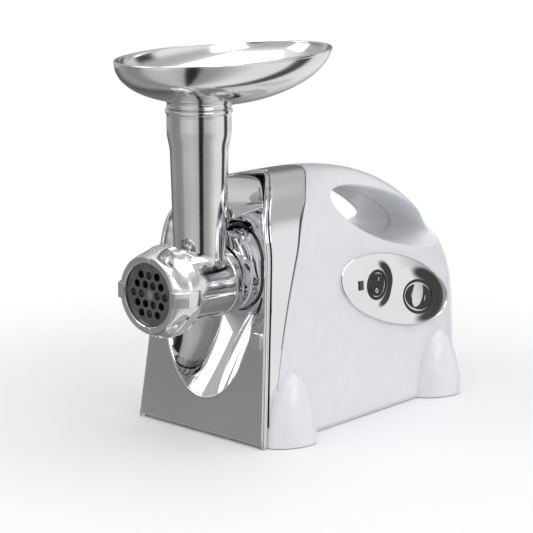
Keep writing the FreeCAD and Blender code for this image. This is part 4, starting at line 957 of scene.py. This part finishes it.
def switchBezel(kind):
    bm = bmesh.new()
    y, z, long, high = (switches[kind][size] for size in ("y", "z", "long", "high"))

    def ringAt(grow, out):
        def spot(u):
            turn = math.tau * u
            along, up = tilted((long + grow) * math.cos(turn), (high + grow) * math.sin(turn))
            return panelPoint(y, z, out, along, up)
        return spot
    thick, bezel = panel["thick"], panel["bezel"]
    stations = [ringAt(bezel - 0.3, thick - 2), ringAt(bezel, thick + 0.9), ringAt(bezel - 0.2, thick + 1.4),
                ringAt(bezel - 0.8, thick + 1.7), ringAt(0.5, thick + 1.7), ringAt(0.1, thick + 1.4),
                ringAt(0.0, thick + 0.8), ringAt(0.0, thick - 8), ringAt(bezel - 1.0, thick - 8),
                ringAt(bezel - 1.0, thick - 2)]
    stationGrid(bm, 96, stations, closed=True)
    closeSeams(bm)
    return makePiece(bm, kind + "_bezel", "base", [kind + "_switch_case"], [satinBlack], 30)


def rockerCap(kind, acrossLong, marks):
    # a rocker with a shallow valley across its middle and its printed marks
    bm = bmesh.new()
    thick = panel["thick"]
    switch = switches[kind]
    y, z = switch["y"], switch["z"]
    long, high = switch["long"] - switch["gap"], switch["high"] - switch["gap"]

    def faceOut(a, b):
        reach = a / long if acrossLong else b / high
        return thick + 1.1 + 1.2 * min(abs(reach), 1.0) ** 2.2

    def spotAt(fraction, out=None):
        def spot(u):
            turn = math.tau * u
            a, b = long * math.cos(turn) * fraction, high * math.sin(turn) * fraction
            along, up = tilted(a, b)
            level = faceOut(a, b) if out is None else faceOut(a, b) + out
            return panelPoint(y, z, level, along, up)
        return spot
    stations = [spotAt(0.93 * i / 24) for i in range(25)]
    stations += [spotAt(0.96, -0.15), spotAt(0.985, -0.5), spotAt(1.0, -1.1), spotAt(1.0, -5.5),
                 spotAt(0.5, -5.5), spotAt(0.0, -5.5)]
    stationGrid(bm, 96, stations)
    bmesh.ops.remove_doubles(bm, verts=bm.verts, dist=0.01)

    def markStroke(points):
        # a printed stroke: a thin raised ribbon through (along, up) points on the cap
        def spot(u, v):
            index = u * (len(points) - 1)
            low = min(int(index), len(points) - 2)
            a0 = Vector(points[low])
            a1 = Vector(points[low + 1])
            here = a0.lerp(a1, index - low)
            normal = Vector((-(a1 - a0).y, (a1 - a0).x)).normalized()
            place = here + normal * (v - 0.5) * 0.75
            along, up = tilted(place.x, place.y)
            return panelPoint(y, z, faceOut(place.x, place.y) + 0.06, along, up)
        made = shapedGrid(bm, max(2, 2 * (len(points) - 1)), 1, spot)
        for face in {face for vert in made for face in vert.link_faces}:
            face.material_index = 1
    for points in marks:
        markStroke(points)
    bmesh.ops.recalc_face_normals(bm, faces=bm.faces)
    return makePiece(bm, kind + "_cap", kind, [kind + "_rocker"], [satinBlack, markWhite], 40)


def circleMark(centre, wide, tall):
    return [(centre[0] + wide * math.cos(math.tau * i / 20), centre[1] + tall * math.sin(math.tau * i / 20))
            for i in range(21)]


controlPanel()
for kind in switches:
    switchBezel(kind)
rockerCap("power", False, [[(0, 3.6), (0, 6.6)], circleMark((0, -5.0), 1.5, 1.5)])
rockerCap("direction", True, [[(-10.2, -2.2), (-10.2, 2.2)], [(-8.4, -2.2), (-8.4, 2.2)],
                              circleMark((0, 0), 1.5, 2.3), [(9.3, -2.2), (9.3, 2.2)]])


# Lock button

button = {"x": 57, "z": 86, "width": 12, "height": 14, "proud": 2, "depth": 7, "stemRadius": 3,
          "stemLength": 17}


def lockButton():
    bm = bmesh.new()
    front = noseLine(button["z"])
    roundedBlock(bm, (button["width"] - 0.4, button["depth"], button["height"] - 0.4),
                 (button["x"], front - button["proud"] + button["depth"] / 2, button["z"]), bevel=1.8,
                 segments=5)
    turnedProfile(bm, [(0, 0), (0, button["stemRadius"]), (button["stemLength"], button["stemRadius"]),
                       (button["stemLength"], 0)], 24, (button["x"], front + 4, button["z"]), (0, 1, 0))
    joinUp(bm, 0.01)
    return makePiece(bm, "lock_key", "lock", ["lock_button"], [mirrorPlate], 40)


lockButton()


# Studio

studio = {
    "target": (0.0, noseY + 0.08303, 0.12737), "azimuth": 42.25, "elevation": 11.94, "distance": 1.431,
    "lens": 114.1, "floorRadius": 1.2, "floorFade": (0.22, 0.50),
    # name, place, aim, size in metres and power in watts
    "lamps": [("key light", (-0.9, -1.3, 1.5), (0, 0, 0.12), (1.1, 1.1), 6),
              ("top light", (0.2, 0.1, 1.8), (0, 0, 0.1), (1.6, 1.6), 12),
              ("side light", (1.5, -0.3, 1.1), (0, 0, 0.12), (0.9, 0.9), 6)],
}


def makeCamera():
    camera = bpy.data.objects.new("camera", bpy.data.cameras.new("camera"))
    bpy.context.scene.collection.objects.link(camera)
    azimuth, elevation = math.radians(studio["azimuth"]), math.radians(studio["elevation"])
    back = Vector((math.sin(azimuth) * math.cos(elevation), -math.cos(azimuth) * math.cos(elevation),
                   math.sin(elevation)))
    camera.location = Vector(studio["target"]) + back * studio["distance"]
    camera.rotation_euler = (-back).to_track_quat("-Z", "Y").to_euler()
    camera.data.lens = studio["lens"]
    camera.data.sensor_width = 36
    bpy.context.scene.camera = camera


def softLight(name, place, aim, size, power):
    light = bpy.data.lights.new(name, "AREA")
    light.shape = "RECTANGLE"
    light.size, light.size_y = size
    light.energy = power
    lamp = bpy.data.objects.new(name, light)
    bpy.context.scene.collection.objects.link(lamp)
    lamp.location = place
    lamp.rotation_euler = (Vector(aim) - Vector(place)).to_track_quat("-Z", "Y").to_euler()


# What polished metal mirrors, by share of a full turn round the room: 0.25 is towards -Y, 0.5 +X and
# 0.75 +Y. The low ring is what is seen just below eye level, the middle ring what is seen level.
room = {
    "low": [(0.0, 0.30), (0.03, 0.34), (0.10, 0.27), (0.165, 0.30), (0.20, 0.50), (0.30, 0.60), (0.365, 0.50),
            (0.373, 0.02), (0.412, 0.02), (0.422, 0.30), (0.48, 0.42), (0.56, 0.85), (0.645, 0.90),
            (0.658, 0.08), (0.70, 0.05),
            (0.715, 0.85), (0.80, 0.90), (0.86, 0.25), (0.94, 0.10), (1.0, 0.30)],
    "level": [(0.0, 0.45), (0.03, 0.35), (0.09, 0.26), (0.165, 0.26), (0.20, 0.60), (0.28, 0.90),
              (0.365, 0.60),
              (0.375, 0.03), (0.412, 0.03), (0.425, 0.50), (0.50, 0.85), (0.58, 0.90), (0.645, 0.92),
              (0.658, 0.06),
              (0.70, 0.06), (0.715, 0.80), (0.79, 0.50), (0.84, 0.20), (0.90, 0.20), (0.95, 0.60),
              (1.0, 0.45)],
    "high": (0.52, 0.52, 0.53, 1), "overhead": (0.93, 0.93, 0.94, 1), "fill": (0.60, 0.605, 0.62, 1),
}


def bandRamp(tree, bands):
    # a colour ramp with one grey level at each place round the room
    ramp = addNode(tree, "ValToRGB")
    elements = ramp.color_ramp.elements
    for position, level in bands[1:-1]:
        elements.new(position).color = (level, level, level * 1.01, 1)
    for element, level in ((elements[0], bands[0][1]), (elements[-1], bands[-1][1])):
        element.color = (level, level, level * 1.01, 1)
    return ramp


def blendColours(tree, factor, first, second):
    # mixes two colours, each either fixed or another node's output
    blend = addNode(tree, "Mix")
    blend.data_type = "RGBA"
    tree.links.new(factor, blend.inputs["Factor"])
    for source, socket in ((first, blend.inputs[6]), (second, blend.inputs[7])):
        if isinstance(source, tuple):
            socket.default_value = source
        else:
            tree.links.new(source, socket)
    return blend.outputs[2]


def heightMix(tree, height, low, high, below, above):
    # blends from one colour to another between two heights of the view
    rise = addNode(tree, "MapRange", {"From Min": low, "From Max": high})
    rise.interpolation_type = "SMOOTHSTEP"
    tree.links.new(height, rise.inputs["Value"])
    return blendColours(tree, rise.outputs["Result"], below, above)


def makeRoom():
    # an even white room, with the darker stands and screens that polished metal mirrors
    world = bpy.data.worlds.new("studio")
    bpy.context.scene.world = world
    world.use_nodes = True
    tree = world.node_tree
    links = tree.links
    tree.nodes.clear()
    where, split, path = (addNode(tree, kind) for kind in ("TexCoord", "SeparateXYZ", "LightPath"))
    radial = addNode(tree, "TexGradient")
    radial.gradient_type = "RADIAL"
    low, level = bandRamp(tree, room["low"]), bandRamp(tree, room["level"])
    links.new(where.outputs["Generated"], radial.inputs["Vector"])
    links.new(where.outputs["Generated"], split.inputs["Vector"])
    for ramp in (low, level):
        links.new(radial.outputs["Fac"], ramp.inputs["Fac"])
    height = split.outputs["Z"]
    seen = heightMix(tree, height, -0.15, -0.10, low.outputs["Color"], level.outputs["Color"])
    seen = heightMix(tree, height, 0.22, 0.48, seen, room["high"])
    seen = heightMix(tree, height, 0.60, 0.90, seen, room["overhead"])
    mirrored = blendColours(tree, path.outputs["Is Glossy Ray"], room["fill"], seen)
    shown = blendColours(tree, path.outputs["Is Camera Ray"], mirrored, (1, 1, 1, 1))
    background, output = addNode(tree, "Background"), addNode(tree, "OutputWorld")
    links.new(shown, background.inputs["Color"])
    links.new(background.outputs["Background"], output.inputs["Surface"])


def makeFloor():
    bm = bmesh.new()
    bmesh.ops.create_circle(bm, cap_ends=True, segments=96, radius=studio["floorRadius"])
    mesh = bpy.data.meshes.new("floor")
    bm.to_mesh(mesh)
    bm.free()
    floor = bpy.data.objects.new("floor", mesh)
    bpy.context.scene.collection.objects.link(floor)
    material, tree, shader = newMaterial("pale floor", {"Base Color": (0.92, 0.92, 0.925, 1),
                                                        "Roughness": 0.6})
    links = tree.links
    where, clear, blend = (addNode(tree, kind) for kind in ("TexCoord", "BsdfTransparent", "MixShader"))
    reach = addNode(tree, "VectorMath")
    reach.operation = "LENGTH"
    fadeFrom, fadeTo = studio["floorFade"]
    fade = addNode(tree, "MapRange", {"From Min": fadeFrom, "From Max": fadeTo})
    fade.interpolation_type = "SMOOTHSTEP"
    links.new(where.outputs["Object"], reach.inputs[0])
    links.new(reach.outputs["Value"], fade.inputs["Value"])
    links.new(fade.outputs["Result"], blend.inputs["Fac"])
    links.new(shader.outputs["BSDF"], blend.inputs[1])
    links.new(clear.outputs["BSDF"], blend.inputs[2])
    links.new(blend.outputs["Shader"], tree.nodes["Material Output"].inputs["Surface"])
    mesh.materials.append(material)
    floor.visible_glossy = False


makeCamera()
makeRoom()
makeFloor()
for lamp in studio["lamps"]:
    softLight(*lamp)
bpy.context.scene.view_settings.view_transform = "Standard"
print("studio ready")
